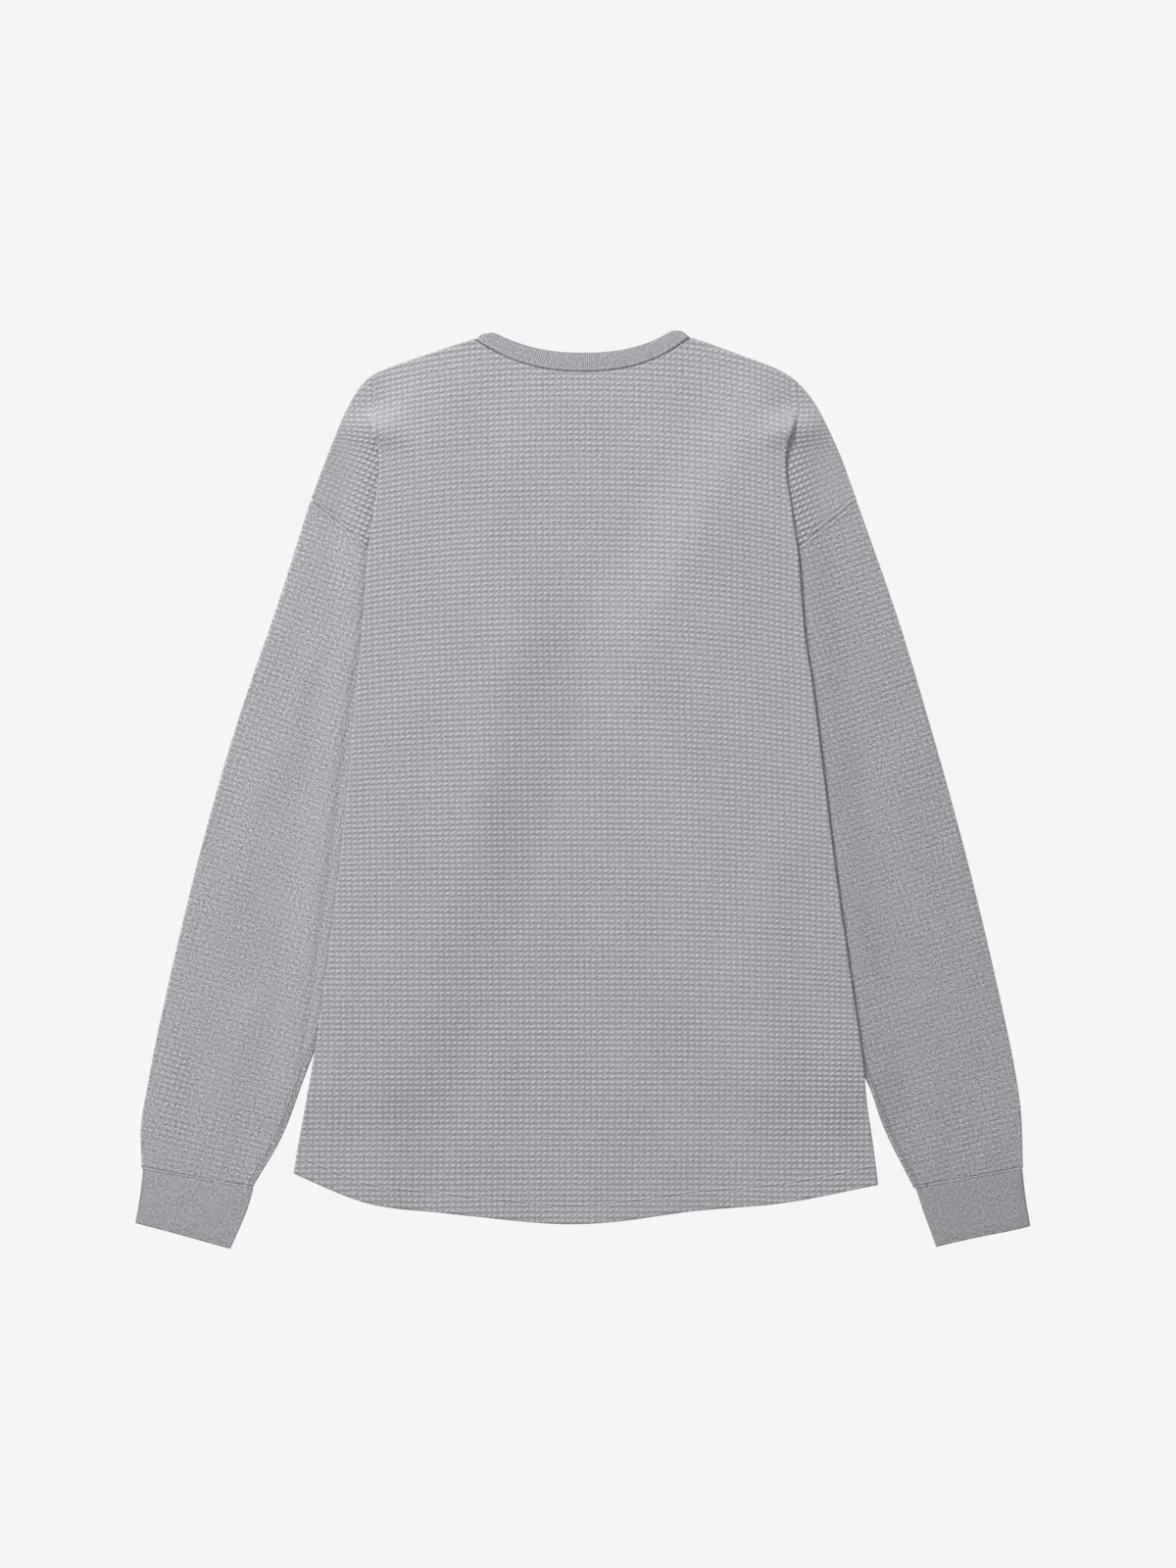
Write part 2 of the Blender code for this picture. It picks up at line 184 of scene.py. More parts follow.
# Soft creases of the sleeves, the same, with x away from the middle of the body
LEFT_CREASES = (
    (322.0, -60.0, 346.0, -190.0, 5.0, 0.9),
    (341.0, -175.0, 342.0, -318.0, 2.2, 1.0),
    (334.0, -185.0, 334.0, -318.0, 2.0, 0.9),
    (348.0, -215.0, 349.0, -312.0, 2.0, 0.8),
    (255.0, 60.0, 300.0, -120.0, 16.0, 1.0),
    (212.0, 150.0, 250.0, 40.0, 9.0, 0.8),
    (268.0, -150.0, 312.0, -300.0, 14.0, 1.1),
    (300.0, -290.0, 306.0, -322.0, 4.0, 0.7),
    (322.0, -286.0, 325.0, -318.0, 3.5, 0.6),
)
RIGHT_CREASES = (
    (308.0, -20.0, 338.0, -160.0, 7.0, 0.8),
    (318.0, -270.0, 322.0, -318.0, 2.4, 0.7),
    (330.0, -262.0, 334.0, -316.0, 2.2, 0.7),
    (343.0, -250.0, 346.0, -312.0, 2.6, 0.6),
    (246.0, 70.0, 292.0, -110.0, 15.0, 1.0),
    (270.0, -140.0, 306.0, -290.0, 15.0, 1.2),
    (292.0, -285.0, 300.0, -322.0, 4.0, 0.8),
)
# The creases whose knit is pressed flat and shows bolder
LEFT_PRESSED = LEFT_CREASES[1:4]
RIGHT_PRESSED = RIGHT_CREASES[1:]

# Where the cloth, smoothed out by hand, strays from even: the pieces, x and y of the place,
# reach across and along, and the shift in x and y
STRAYS = (
    ("back front sleeve_left", -258.0, 150.0, 60.0, 82.0, 2.8, 0.0),
    ("back front sleeve_right", 258.0, 160.0, 60.0, 110.0, 1.7, 0.0),
    ("sleeve_left", -372.0, -288.0, 22.0, 26.0, -2.2, 0.0),
    ("sleeve_left", -256.0, -290.0, 30.0, 46.0, 3.5, 0.0),
    ("cuff_left", -278.0, -338.0, 34.0, 22.0, 2.4, 0.0),
    ("cuff_left", -292.0, -386.0, 46.0, 24.0, 0.0, -1.3),
    ("back front", 216.0, 278.0, 26.0, 32.0, 1.5, 0.4),
    ("neck", 84.0, 382.0, 14.0, 14.0, -0.6, 1.8),
    ("sleeve_right", 238.0, -250.0, 22.0, 26.0, 3.0, 0.0),
    ("back front", 240.0, -264.0, 20.0, 26.0, -1.2, 0.0),
    ("back front", -244.0, -315.0, 42.0, 70.0, -3.3, 0.0),
    ("back front neck", 98.0, 376.0, 36.0, 34.0, 0.0, 2.2),
    ("back front neck", -98.0, 376.0, 56.0, 34.0, 0.0, 1.2),
    ("back front", 184.0, 345.0, 22.0, 24.0, -1.8, -1.6),
    ("back front", 176.0, -345.0, 48.0, 34.0, 0.0, -1.5),
    ("back front", -128.0, -354.0, 44.0, 34.0, 0.0, -1.0),
    ("cuff_right", 286.0, -362.0, 26.0, 26.0, 2.4, 0.6),
    ("cuff_right", 370.0, -366.0, 40.0, 22.0, 0.3, -2.6),
)


def smooth(share):
    share = np.clip(share, 0.0, 1.0)
    return share * share * (3.0 - 2.0 * share)


def mix(a, b, share):
    return a + (b - a) * share


def bell(at, width):
    """1 at 0, falling off on both sides over a width."""
    return np.exp(-(at / width) ** 2)


def stack(*parts):
    """Numbers or arrays side by side, as a new last axis."""
    return np.stack(np.broadcast_arrays(*parts), -1)


def unit(vectors):
    """The same directions, 1 long."""
    length = np.linalg.norm(vectors, axis=-1, keepdims=True)
    return vectors / np.maximum(length, 1e-9)


def slope(line, at):
    return line(at + 0.5) - line(at - 0.5)


def inset(line, at, by):
    """A line moved by a distance square to itself."""
    return line(at) - by * np.hypot(1.0, slope(line, at))


def read(table, column, at):
    """A table's column at values of its first column, on a smooth curve through the rows."""
    rows = np.array(table, float)
    keys, values = rows[:, 0], rows[:, column]
    last = len(keys) - 1
    k = np.clip(np.searchsorted(keys, at, side="left") - 1, 0, last - 1)
    before, after = np.maximum(k - 1, 0), np.minimum(k + 2, last)
    span = keys[k + 1] - keys[k]
    share = np.clip((at - keys[k]) / span, 0.0, 1.0)
    slope_low = (values[k + 1] - values[before]) / (keys[k + 1] - keys[before]) * span
    slope_high = (values[after] - values[k]) / (keys[after] - keys[k]) * span
    square, cube = share ** 2, share ** 3
    return (values[k] * (2 * cube - 3 * square + 1) + slope_low * (cube - 2 * square + share)
            + values[k + 1] * (3 * square - 2 * cube) + slope_high * (cube - square))


# ---------------------------------------------------------------- the garment's form

def half_width(y):
    return read(BODY, 1, y)


def lean(y):
    return read(BODY, 2, y)


def tuck(y):
    """How far in a side's tuck reaches."""
    deepest = half_width(UNDERARM[1]) - UNDERARM[0]
    above = deepest * np.clip((FOLD_FULL_Y - y) / (FOLD_FULL_Y - UNDERARM[1]), 0.0, 1.0)
    below = mix(HEM_TUCK, deepest, (y - BODY[0][0]) / (UNDERARM[1] - BODY[0][0]))
    return np.where(y >= UNDERARM[1], above, below)


def fold_angle(y):
    return mix(LEAST_ANGLE, PI, smooth((FOLD_START_Y - y) / (FOLD_START_Y - FOLD_FULL_Y)))


def straight(y):
    return np.maximum(LEAST_STRAIGHT, tuck(y) - EDGE)


def drop(y):
    """Height from the back's fold down to the cloth in the tuck."""
    angle = fold_angle(y)
    return 2 * TURN_LENGTH / angle * (1 - np.cos(angle)) + straight(y) * np.sin(angle)


def packed(y):
    """1 where the sleeve lies in the tuck, 0 below where it has come out."""
    return smooth((y - SLEEVE_OUT_Y[0]) / (SLEEVE_OUT_Y[1] - SLEEVE_OUT_Y[0]))


def outside(x, y):
    """Distance out from the body's side fold."""
    return np.sign(x) * (x - lean(y)) - half_width(y)


def lift(x, y):
    """Rise of the sleeve and of the cloth round the armhole towards the side fold."""
    near, far = COVER_RUN
    return drop(y) * packed(y) * smooth((far - outside(x, y)) / (far - near))


def ease(y):
    return FOLD_EASE * np.sin(fold_angle(y))


def fold_level(y):
    return FLOOR_PLY + PITCH + ease(y) + 2 * drop(y) - 2 * PITCH * (1 - packed(y))


def back_level(out, y):
    """Height of the back: low in the middle, and up on the folds at the sides."""
    low = FLOOR_PLY + PITCH
    high = fold_level(y)
    rise = smooth((RISE_TOP_Y - y) / (RISE_TOP_Y - FOLD_FULL_Y))
    away = smooth((half_width(y) - RISE_MARGIN - out) / RISE_SIDE)
    plateau = mix(low, fold_level(np.full_like(y, FOLD_FULL_Y)), rise)
    high = np.where(y > FOLD_FULL_Y, mix(high, plateau, away), high)
    start = half_width(y) - tuck(y) - SAG_START
    run = np.minimum(SAG_RUN, start)
    return mix(low, high, smooth((out - start + run) / run))


def shoulder_y(x):
    gentle = NECK_POINT_Y - SHOULDER_SLOPE * (np.abs(x) - NECK_HALF)
    steep = SHOULDER_TIP[1] - SLEEVE_HEAD_SLOPE * (np.abs(x) - SHOULDER_TIP[0])
    return -SHOULDER_ROUND * np.log(np.exp(-gentle / SHOULDER_ROUND)
                                    + np.exp(-steep / SHOULDER_ROUND))


def shoulder_x(y):
    across = np.linspace(NECK_HALF, SHOULDER_REACH, 900)
    return np.interp(y, shoulder_y(across)[::-1], across[::-1])


def top_y(x, neck_drop, power):
    neck = shoulder_y(NECK_HALF) - neck_drop * (1 - np.minimum(np.abs(x) / NECK_HALF, 1.0) ** power)
    return np.where(np.abs(x) < NECK_HALF, neck, shoulder_y(x))


def hem_y(x):
    return read(HEM, 1, x)


# ---------------------------------------------------------------- the knit's relief

def bow(x, v):
    """How far a row of the knit, level at the middle, has sunk at x: the rows arch over the body."""
    strength = np.where(x > 0, 0.115 + 0.00042 * v, 0.05 + 0.00048 * v)
    return np.maximum(strength, 0.0) * ARCH_DEPTH * (np.abs(x) / ARCH_REACH) ** ARCH_POWER


def wave(at, pitch):
    return 0.5 + 0.5 * np.cos(2 * PI * at / pitch)


def waffle(u, v):
    """0 in the pits, 1 on the nubs."""
    across, along = wave(u, CELL_ACROSS), wave(v, CELL_ALONG)
    return 0.7 * across * along + 0.18 * across + 0.12 * along


def creases(table, x, y):
    """Height of the soft ridges, which wander a little from their lines and fade at their ends."""
    total = np.zeros_like(x)
    for x0, y0, x1, y1, width, height in table:
        dx, dy = x1 - x0, y1 - y0
        length = np.hypot(dx, dy)
        along = ((x - x0) * dx + (y - y0) * dy) / length
        away = ((x - x0) * dy - (y - y0) * dx) / length
        wander = away + 0.22 * width * np.sin(along / 23.0 + x0)
        fade = smooth(along / (0.3 * length)) * smooth((length - along) / (0.3 * length))
        total += height * fade * bell(wander, width)
    return total


def stray(name, x, y):
    """Shift of a piece's points in x and y."""
    shift = np.zeros((len(x), 2))
    for pieces, at_x, at_y, across, along, dx, dy in STRAYS:
        if any(name.startswith(word) for word in pieces.split()):
            near = bell(x - at_x, across) * bell(y - at_y, along)
            shift += near[:, None] * np.array([dx, dy])
    return shift


def ripple(x, y):
    """The slight unevenness of cloth smoothed flat by hand."""
    return (0.30 * np.sin(x / 31.0 + 0.6 * np.sin(y / 47.0)) * np.sin(y / 58.0 + 1.3)
            + 0.22 * np.sin(x / 17.0 + y / 39.0 + 2.0) + 0.14 * np.sin(x / 9.5 - y / 26.0)) + 0.5


def turned_cloth(side, x, y, gather):
    """Place in the cloth past the start of the side's fold, where the cloth has swung inwards."""
    across, along = np.abs(x) + gather - SWING_AT[0], y - SWING_AT[1]
    angle = -SWING * smooth((14.0 - along) / 60.0)
    u = SWING_AT[0] + across * np.cos(angle) - along * np.sin(angle)
    v = SWING_AT[1] + across * np.sin(angle) + along * np.cos(angle)
    return side * u, v


def boldness(x, y):
    """How strongly the waffle stands out: 1 on most of the body, more where it is stretched. It also
    scales the painted light and shade in the waffle's colour.
    """
    past = outside(x, y)
    in_cap = smooth((past + 3.0) / 6.0) * smooth((320.0 - y) / 40.0)
    near_fold = 0.95 * smooth((28.0 - past) / 24.0) * smooth((y - 120.0) / 40.0)
    far_out = 0.45 * smooth((past - 8.0) / 22.0)
    low = 0.22 * bell(x + 60.0, 120.0) * bell(y + 240.0, 130.0)
    corner = 0.65 * bell(x - 205.0, 42.0) * bell(y + 270.0, 70.0)
    return 1.0 + in_cap * (near_fold - far_out) + low + corner


# ---------------------------------------------------------------- meshes

class Mesh:
    """Points and faces. With each point go its place in the cloth (across, along), the boldness of
    the knit, and its distances from three edges or seams.
    """

    def __init__(self):
        self.places, self.cloth, self.faces, self.count = [], [], [], 0

    def add(self, places, cloth):
        """Adds a row of points, and returns their numbers."""
        self.places.append(places)
        self.cloth.append(cloth)
        self.count += len(places)
        return np.arange(self.count - len(places), self.count)

    def at(self, numbers):
        return np.concatenate(self.places)[numbers], np.concatenate(self.cloth)[numbers]

    def grid(self, columns):
        """Numbers of the columns' points, a row for each level. A column that starts above a level
        or ends below it has its end point there.
        """
        levels = np.arange(len(columns[0]["place"]))
        return np.array([self.add(column["place"], column["cloth"])
                         [np.clip(levels, column["low"], column["high"])] for column in columns]).T

    def skin(self, numbers, flip=False):
        """Faces between neighbouring rows and columns of an arrangement of point numbers."""
        a, b = numbers[:-1, :-1].ravel(), numbers[:-1, 1:].ravel()
        c, d = numbers[1:, 1:].ravel(), numbers[1:, :-1].ravel()
        ring = (a, d, c, b) if flip else (a, b, c, d)
        for face in zip(*(part.tolist() for part in ring)):
            corners = list(dict.fromkeys(face))
            if len(corners) > 2:
                self.faces.append(corners)

    def make(self, name, material):
        places, cloth = np.concatenate(self.places), np.concatenate(self.cloth)
        places[:, :2] += stray(name, places[:, 0], places[:, 1])
        used = np.zeros(len(places), bool)
        used[[k for face in self.faces for k in face]] = True
        number = np.cumsum(used) - 1
        data = bpy.data.meshes.new(name)
        data.from_pydata((places[used] * MM).tolist(), [],
                         [[int(number[k]) for k in face] for face in self.faces])
        for word, part in (("cloth", slice(0, 3)), ("edges", slice(3, 6))):
            layer = data.attributes.new(word, "FLOAT_VECTOR", "POINT")
            layer.data.foreach_set("vector", cloth[used][:, part].astype(np.float32).ravel())
        data.polygons.foreach_set("use_smooth", [True] * len(data.polygons))
        data.materials.append(material)
        data.validate()
        item = bpy.data.objects.new(name, data)
        bpy.context.collection.objects.link(item)
        return item


def distinct(numbers):
    """Which points of a line aren't the same as the one before."""
    return np.concatenate([[True], numbers[1:] != numbers[:-1]])


def capture(table, position, captured):
    """Each row's free columns past its last one inside the fold are drawn into that one's point."""
    position = np.array(position)
    kept = np.minimum(np.arange(len(position)), captured[:, None])
    table[:, position] = np.take_along_axis(table, position[kept], 1)


def off_edge(x, line, way, ups):
    """The way off an edge that follows a line y(x), square to the cloth's own normals."""
    out = stack(-slope(line, x) * way, way, 0.0)
    return unit(out - ups * (out * ups).sum(-1, keepdims=True))


def wrap(mesh, edge, normals, out, radius, turn, back=0.0, steps=4, flip=False, allowance=0.0):
    """Cloth turned in along an edge: round a radius through an angle, and then on for a while.

    edge holds point numbers; normals and out (the way off the edge) are vectors, one for each.
    A seam allowance runs on from there, off the edge and under the next piece.
    """
    places, cloth = mesh.at(edge)
    back, allowance = (np.ones((len(edge), 1)) * np.reshape(size, (-1, 1))
                       for size in (back, allowance))
    rows = [edge]
    stations = [(PI * turn / 180 * k / steps, 0.0) for k in range(1, steps + 1)]
    if back.max() > 0:
        stations += [(PI * turn / 180, k / 3) for k in (1, 2, 3)]
    for angle, share in stations:
        heading = out * np.cos(angle) - normals * np.sin(angle)
        place = (places + out * radius * np.sin(angle) - normals * radius * (1 - np.cos(angle))
                 + heading * back * share)
        moved = cloth.copy()
        moved[:, 1] += radius * angle + back[:, 0] * share
        rows.append(mesh.add(place, moved))
    if allowance.max() > 0:
        for share in (0.5, 1.0):
            rows.append(mesh.add(place + out * allowance * share, moved))
    mesh.skin(np.array(rows), flip)


# ---------------------------------------------------------------- body panels

class Section:
    """A panel's half section at each height y: out to the side fold, round it, back in along the
    tuck, and round again. start, turned, inner and last are how far along the cloth each begins.
    """

    def __init__(self, y, back):
        setback = 0.0 if back else FRONT_SETBACK
        self.angle = fold_angle(y)
        self.radius = TURN_LENGTH / self.angle
        across = self.radius * np.sin(np.minimum(self.angle, PI / 2))
        self.start = half_width(y) - setback - WALL / 2 - across
        self.turned = self.start + TURN_LENGTH
        self.inner = self.turned + np.maximum(straight(y) - setback, LEAST_STRAIGHT)
        low = y < UNDERARM[1]
        around_sleeve = (2 * PITCH * packed(y) + PITCH - SEAM_GAP) / 2
        self.second = np.where(low, around_sleeve, self.radius)
        self.last = self.inner + self.second * (self.angle - np.where(low, PI / 2, 0.0))

    def at(self, u):
        """Out, down and heading of the cloth's middle surface at u along the section."""
        turned = np.clip(u - self.start, 0.0, TURN_LENGTH) / self.radius
        run = np.clip(u, self.turned, self.inner) - self.turned
        heading = turned - np.clip(u - self.inner, 0.0, self.last - self.inner) / self.second
        begun = u > self.inner
        out = np.minimum(u, self.start) + self.radius * np.sin(turned) + run * np.cos(self.angle)
        out += np.where(begun, self.second * (np.sin(self.angle) - np.sin(heading)), 0.0)
        down = self.radius * (1 - np.cos(turned)) + run * np.sin(self.angle)
        down += np.where(begun, self.second * (np.cos(heading) - np.cos(self.angle)), 0.0)
        return out, down, heading


class Panel:
    """The back or the front: columns from the middle out and round each side fold, then the cloth
    past the fold up to the armhole, and the turned edges.
    """

    def __init__(self, back):
        self.back = back
        self.facing = 1 if back else -1
        every = 1 if back else FRONT_EVERY
        self.step_u, self.step_v = STEP_ACROSS * every, STEP_ALONG * every
        self.neckline = (BACK_NECK, BACK_POWER) if back else (FRONT_NECK, FRONT_POWER)
        self.ply = FLOOR_PLY + (PITCH if back else 0.0)
        self.first = LEVELS_FROM - LEVELS_FROM % self.step_v
        self.levels = self.first + self.step_v * np.arange(int(LEVELS_SPAN / self.step_v))
        self.free_count = int(WIDEST / self.step_u) + 1
        self.cap_counts = (3, 22) if back else (3, 6)
        self.captured, self.sides = {}, {}
        for side in (-1, 1):
            y = self.levels - bow(side * half_width(self.levels), self.levels)
            margin = Section(y, back).start - FOLD_MARGIN
            self.captured[side] = np.round(margin / self.step_u).astype(int)
            self.sides[side] = self.columns(side)

    def top(self, x):
        return top_y(x, *self.neckline)

    def top_inset(self, x):
        return inset(self.top, x, np.where(np.abs(x) < NECK_HALF, SEAM_ROUND, SHOULDER_EDGE))

    def hem_inset(self, x):
        return inset(hem_y, x, -HEM_ROUND)

    def cap_end(self, y):
        along = (y - UNDERARM[1]) / (SHOULDER_TIP[1] - UNDERARM[1])
        seam = mix(UNDERARM[0], SHOULDER_TIP[0], along) - 0.2
        return np.where(y < SHOULDER_TIP[1], seam, inset(shoulder_x, y, SHOULDER_EDGE))

    def rows_of(self, side, out_of, across):
        """A column's heights y and cloth rows v, and the numbers of its two end rows, found by
        walking along the column to the hem's and the top's line.
        """
        v = self.levels.copy()
        y = v - bow(side * across(v), v)
        ends = []
        for line, at in ((self.hem_inset, -340.0), (self.top_inset, 340.0)):
            for _ in range(16):
                row_v = at
                for _ in range(3):
                    row_v = at + float(bow(side * across(row_v), row_v))
                j = int(round((row_v - self.first) / self.step_v))
                here = np.array([at])
                x = lean(here) + side * out_of(here, self.captured[side][j])
                at = float(0.5 * at + 0.5 * line(x)[0])
            ends.append((j, at, row_v))
        for j, at, row_v in ends:
            y[j], v[j] = at, row_v
        return dict(y=y, v=v, low=ends[0][0], high=ends[1][0])

    def place_on_section(self, side, u, y):
        """Points on the panel's outer face, and their normals."""
        part = Section(y, self.back)
        u = np.minimum(u, part.last)
        out, down, heading = part.at(u)
        level = FLOOR_PLY
        if self.back:
            level = np.where(u > part.start, fold_level(y), back_level(out, y))
        normal = stack(side * np.sin(heading), 0.0, self.facing * np.cos(heading))
        middle = stack(lean(y) + side * out, y, level - self.facing * down)
        return middle + normal * WALL / 2, normal

    def columns(self, side):
        columns = []

        def add(out_of, across, u_of, free=-1):
            column = self.rows_of(side, out_of, across)
            u = u_of(column["y"])
            place, normal = self.place_on_section(side, u, column["y"])
            columns.append(dict(column, place=place, normal=normal, u=u, free=free, cap=False))

        for k in range(self.free_count):
            def out_of(y, last):
                margin = Section(y, self.back).start - FOLD_MARGIN
                return np.where(k >= last, margin, k * self.step_u)
            add(out_of, lambda v: np.minimum(k * self.step_u, half_width(v)),
                lambda y: out_of(y, self.captured[side]), k)
        for near, far, shares in (("start", "turned", TURN_SHARES), ("turned", "inner", THIRDS),
                                  ("inner", "last", THIRDS)):
            for share in shares:
                def reach(y):
                    part = Section(y, self.back)
                    return mix(getattr(part, near), getattr(part, far), share)
                add(lambda y, last: Section(y, self.back).at(reach(y))[0], half_width, reach)

        self.body_columns = len(columns)
        last = columns[-1]
        y = last["y"]
        in_cap = y >= UNDERARM[1]
        inner = np.abs(last["place"][:, 0] - lean(y))
        outer = np.maximum(self.cap_end(y), inner)
        shown = np.clip(half_width(y) - 7.0, inner, outer)
        for near, far, count in zip((inner, shown), (shown, outer), self.cap_counts):
            for k in range(1, count + 1):
                out = np.where(in_cap, mix(near, far, k / count), inner)
                x = lean(y) + side * out
                z = self.ply + lift(x, y) + (ease(y) if self.back else 0.0)
                place = stack(x, y, z + self.facing * WALL / 2)
                place = np.where(in_cap[:, None], place, last["place"])
                normal = np.where(in_cap[:, None], (0.0, 0.0, self.facing), last["normal"])
                columns.append(dict(last, place=place, normal=normal, cap=True))
        for column in columns:
            self.dress(side, column, inner)
        return columns

    def dress(self, side, column, inner):
        """Gives a column its place in the cloth, its creases and the relief of its knit."""
        x, y = column["place"][:, 0], column["y"]
        part = Section(y, self.back)
        bold = boldness(x, y)
        from_hem = y - hem_y(x)
        to_side = half_width(y) - np.abs(x - lean(y))
        if column["cap"]:
            u, v = turned_cloth(side, x, y, np.clip(part.last - inner, 0.0, 8.0))
            seam_way = unit(np.subtract(SHOULDER_TIP, UNDERARM))
            to_armhole = ((y - UNDERARM[1]) * seam_way[0]
                          - (np.abs(x) - UNDERARM[0]) * seam_way[1])
            kept, shape, on_top = 0.0, 0.5 * ripple(x, y), 1.0
            fade = smooth((self.cap_end(y) - np.abs(x)) / 14.0) * smooth((np.abs(x) - inner) / 14.0)
        else:
            u, v = side * column["u"], column["v"]
            to_armhole = FAR
            # The relief dies out before a side fold, and runs on where there is none yet
            before_fold = smooth((part.start - column["u"]) / 9.0)
            before_cap = smooth((part.inner - column["u"]) / 4.0)
            kept = mix(before_cap, before_fold, smooth(part.angle / 0.8))
            shape = creases(BACK_CREASES, x, y) + 0.7 * ripple(x, y)
            on_top = np.clip(column["normal"][:, 2], 0.0, 1.0)
            fade = smooth(to_side / 26.0) * smooth((self.top_inset(x) - y) / 30.0)
        to_neck = np.where(np.abs(x) < NECK_HALF + 4, self.top(x) - y, FAR)
        column["cloth"] = stack(u, v, bold, from_hem, to_armhole, to_neck)
        if self.back:
            hem = (0.16 * smooth((HEM_DEPTH + 1.5 - from_hem) / 4.0)
                   - 0.12 * bell(from_hem - HEM_DEPTH, 1.2)) * smooth(to_side / 9.0)
            relief = RELIEF * kept * (bold * waffle(u, v) - SUNK)
            raise_by = relief + (shape * fade + hem) * on_top
            column["place"] = column["place"] + column["normal"] * raise_by[:, None]

    def make(self, name, material):
        mesh = Mesh()
        back, sides, tip_y = self.back, self.sides, SHOULDER_TIP[1]
        count = len(sides[1])
        chain = [(-1, k) for k in range(count - 1, 0, -1)] + [(1, k) for k in range(count)]
        at = {pair: n for n, pair in enumerate(chain)}
        at[-1, 0] = at[1, 0]
        table = mesh.grid([sides[side][k] for side, k in chain])
        for side in (-1, 1):
            capture(table, [at[side, k] for k in range(self.free_count)], self.captured[side])
            below = np.flatnonzero(sides[side][-1]["y"] < UNDERARM[1])
            caps = [at[side, k] for k in range(self.body_columns, count)]
            table[np.ix_(below, caps)] = table[below, at[side, self.body_columns - 1]][:, None]
        mesh.skin(table, flip=not back)

        def end_row(row, end, chosen):
            ids = table[row, [at[pair] for pair in chosen]]
            ups = np.array([sides[side][k]["normal"][sides[side][k][end]] for side, k in chosen])
            keep = distinct(ids)
            return ids[keep], ups[keep], mesh.at(ids[keep])[0][:, 0]

        ids, ups, x = end_row(0, "low", [pair for pair in chain if pair[1] < self.body_columns])
        turned_in = np.where(np.abs(ups[:, 2]) > 0.95, HEM_DEPTH - 2.0, 0.6)
        wrap(mesh, ids, ups, off_edge(x, hem_y, -1.0, ups), HEM_ROUND, 180, turned_in, flip=back)

        top_ids, top_ups, x = end_row(-1, "high", chain)
        neck = np.abs(x) <= NECK_HALF + 0.01
        within = np.clip(x[neck], -NECK_HALF + 0.6, NECK_HALF - 0.6)
        wrap(mesh, top_ids[neck], top_ups[neck], off_edge(within, self.top, 1.0, top_ups[neck]),
             SEAM_ROUND, 90, 0.4, steps=3, flip=not back)
        up = np.array([0.0, 0.0, self.facing])
        for side in (-1, 1):
            # The shoulder and the outer edge from the neck down to the armhole, then the armhole
            last = sides[side][-1]
            ids = table[:, at[side, count - 1]]
            y = mesh.at(ids)[0][:, 1]
            above = (np.arange(len(ids)) <= last["high"]) & (y >= tip_y - 0.6 * self.step_v)
            over = x * side > NECK_HALF - 3.0
            line = np.concatenate([top_ids[over][::side], ids[above][::-1]])
            ups = np.concatenate([top_ups[over][::side], np.tile(up, (above.sum(), 1))])
            keep = distinct(line)
            line, ups = line[keep], ups[keep]
            beyond_neck = np.maximum(mesh.at(line)[0][:, 0] * side, NECK_HALF + 0.6)
            wrap(mesh, line, ups, off_edge(side * beyond_neck, self.top, 1.0, ups),
                 SHOULDER_EDGE, 90, flip=(side > 0) != back)
            seam = ids[(last["y"] >= UNDERARM[1]) & (y <= tip_y + 0.6 * self.step_v)]
            seam = seam[distinct(seam)]
            out = unit(np.cross(unit(np.gradient(mesh.at(seam)[0], axis=0)), up))
            out *= np.sign(out[len(out) // 2, 0]) * side
            wrap(mesh, seam, up, out, SEAM_ROUND, 90, 0.4, flip=(side > 0) == back)
        return mesh.make(name, material)


# ---------------------------------------------------------------- sleeves

def next_piece_ends(outer, inner, draw_outer, draw_inner):
    """Ends of the edge that is sewn to another piece's edge, a seam's gap away from it."""
    outer, inner = np.array(outer), np.array(inner)
    along = unit(inner - outer)
    across = np.array([-along[1], along[0]]) * SEAM_GAP
    return outer + across + along * draw_outer, inner + across - along * draw_inner


def edge_lines(ends, table, shares):
    """The outer and the inner edge in plan, at shares of the piece's length."""
    rows = ((0.0, *ends[0], *ends[1]),) + table
    return [stack(read(rows, k, shares), read(rows, k + 1, shares)) for k in (1, 3)]


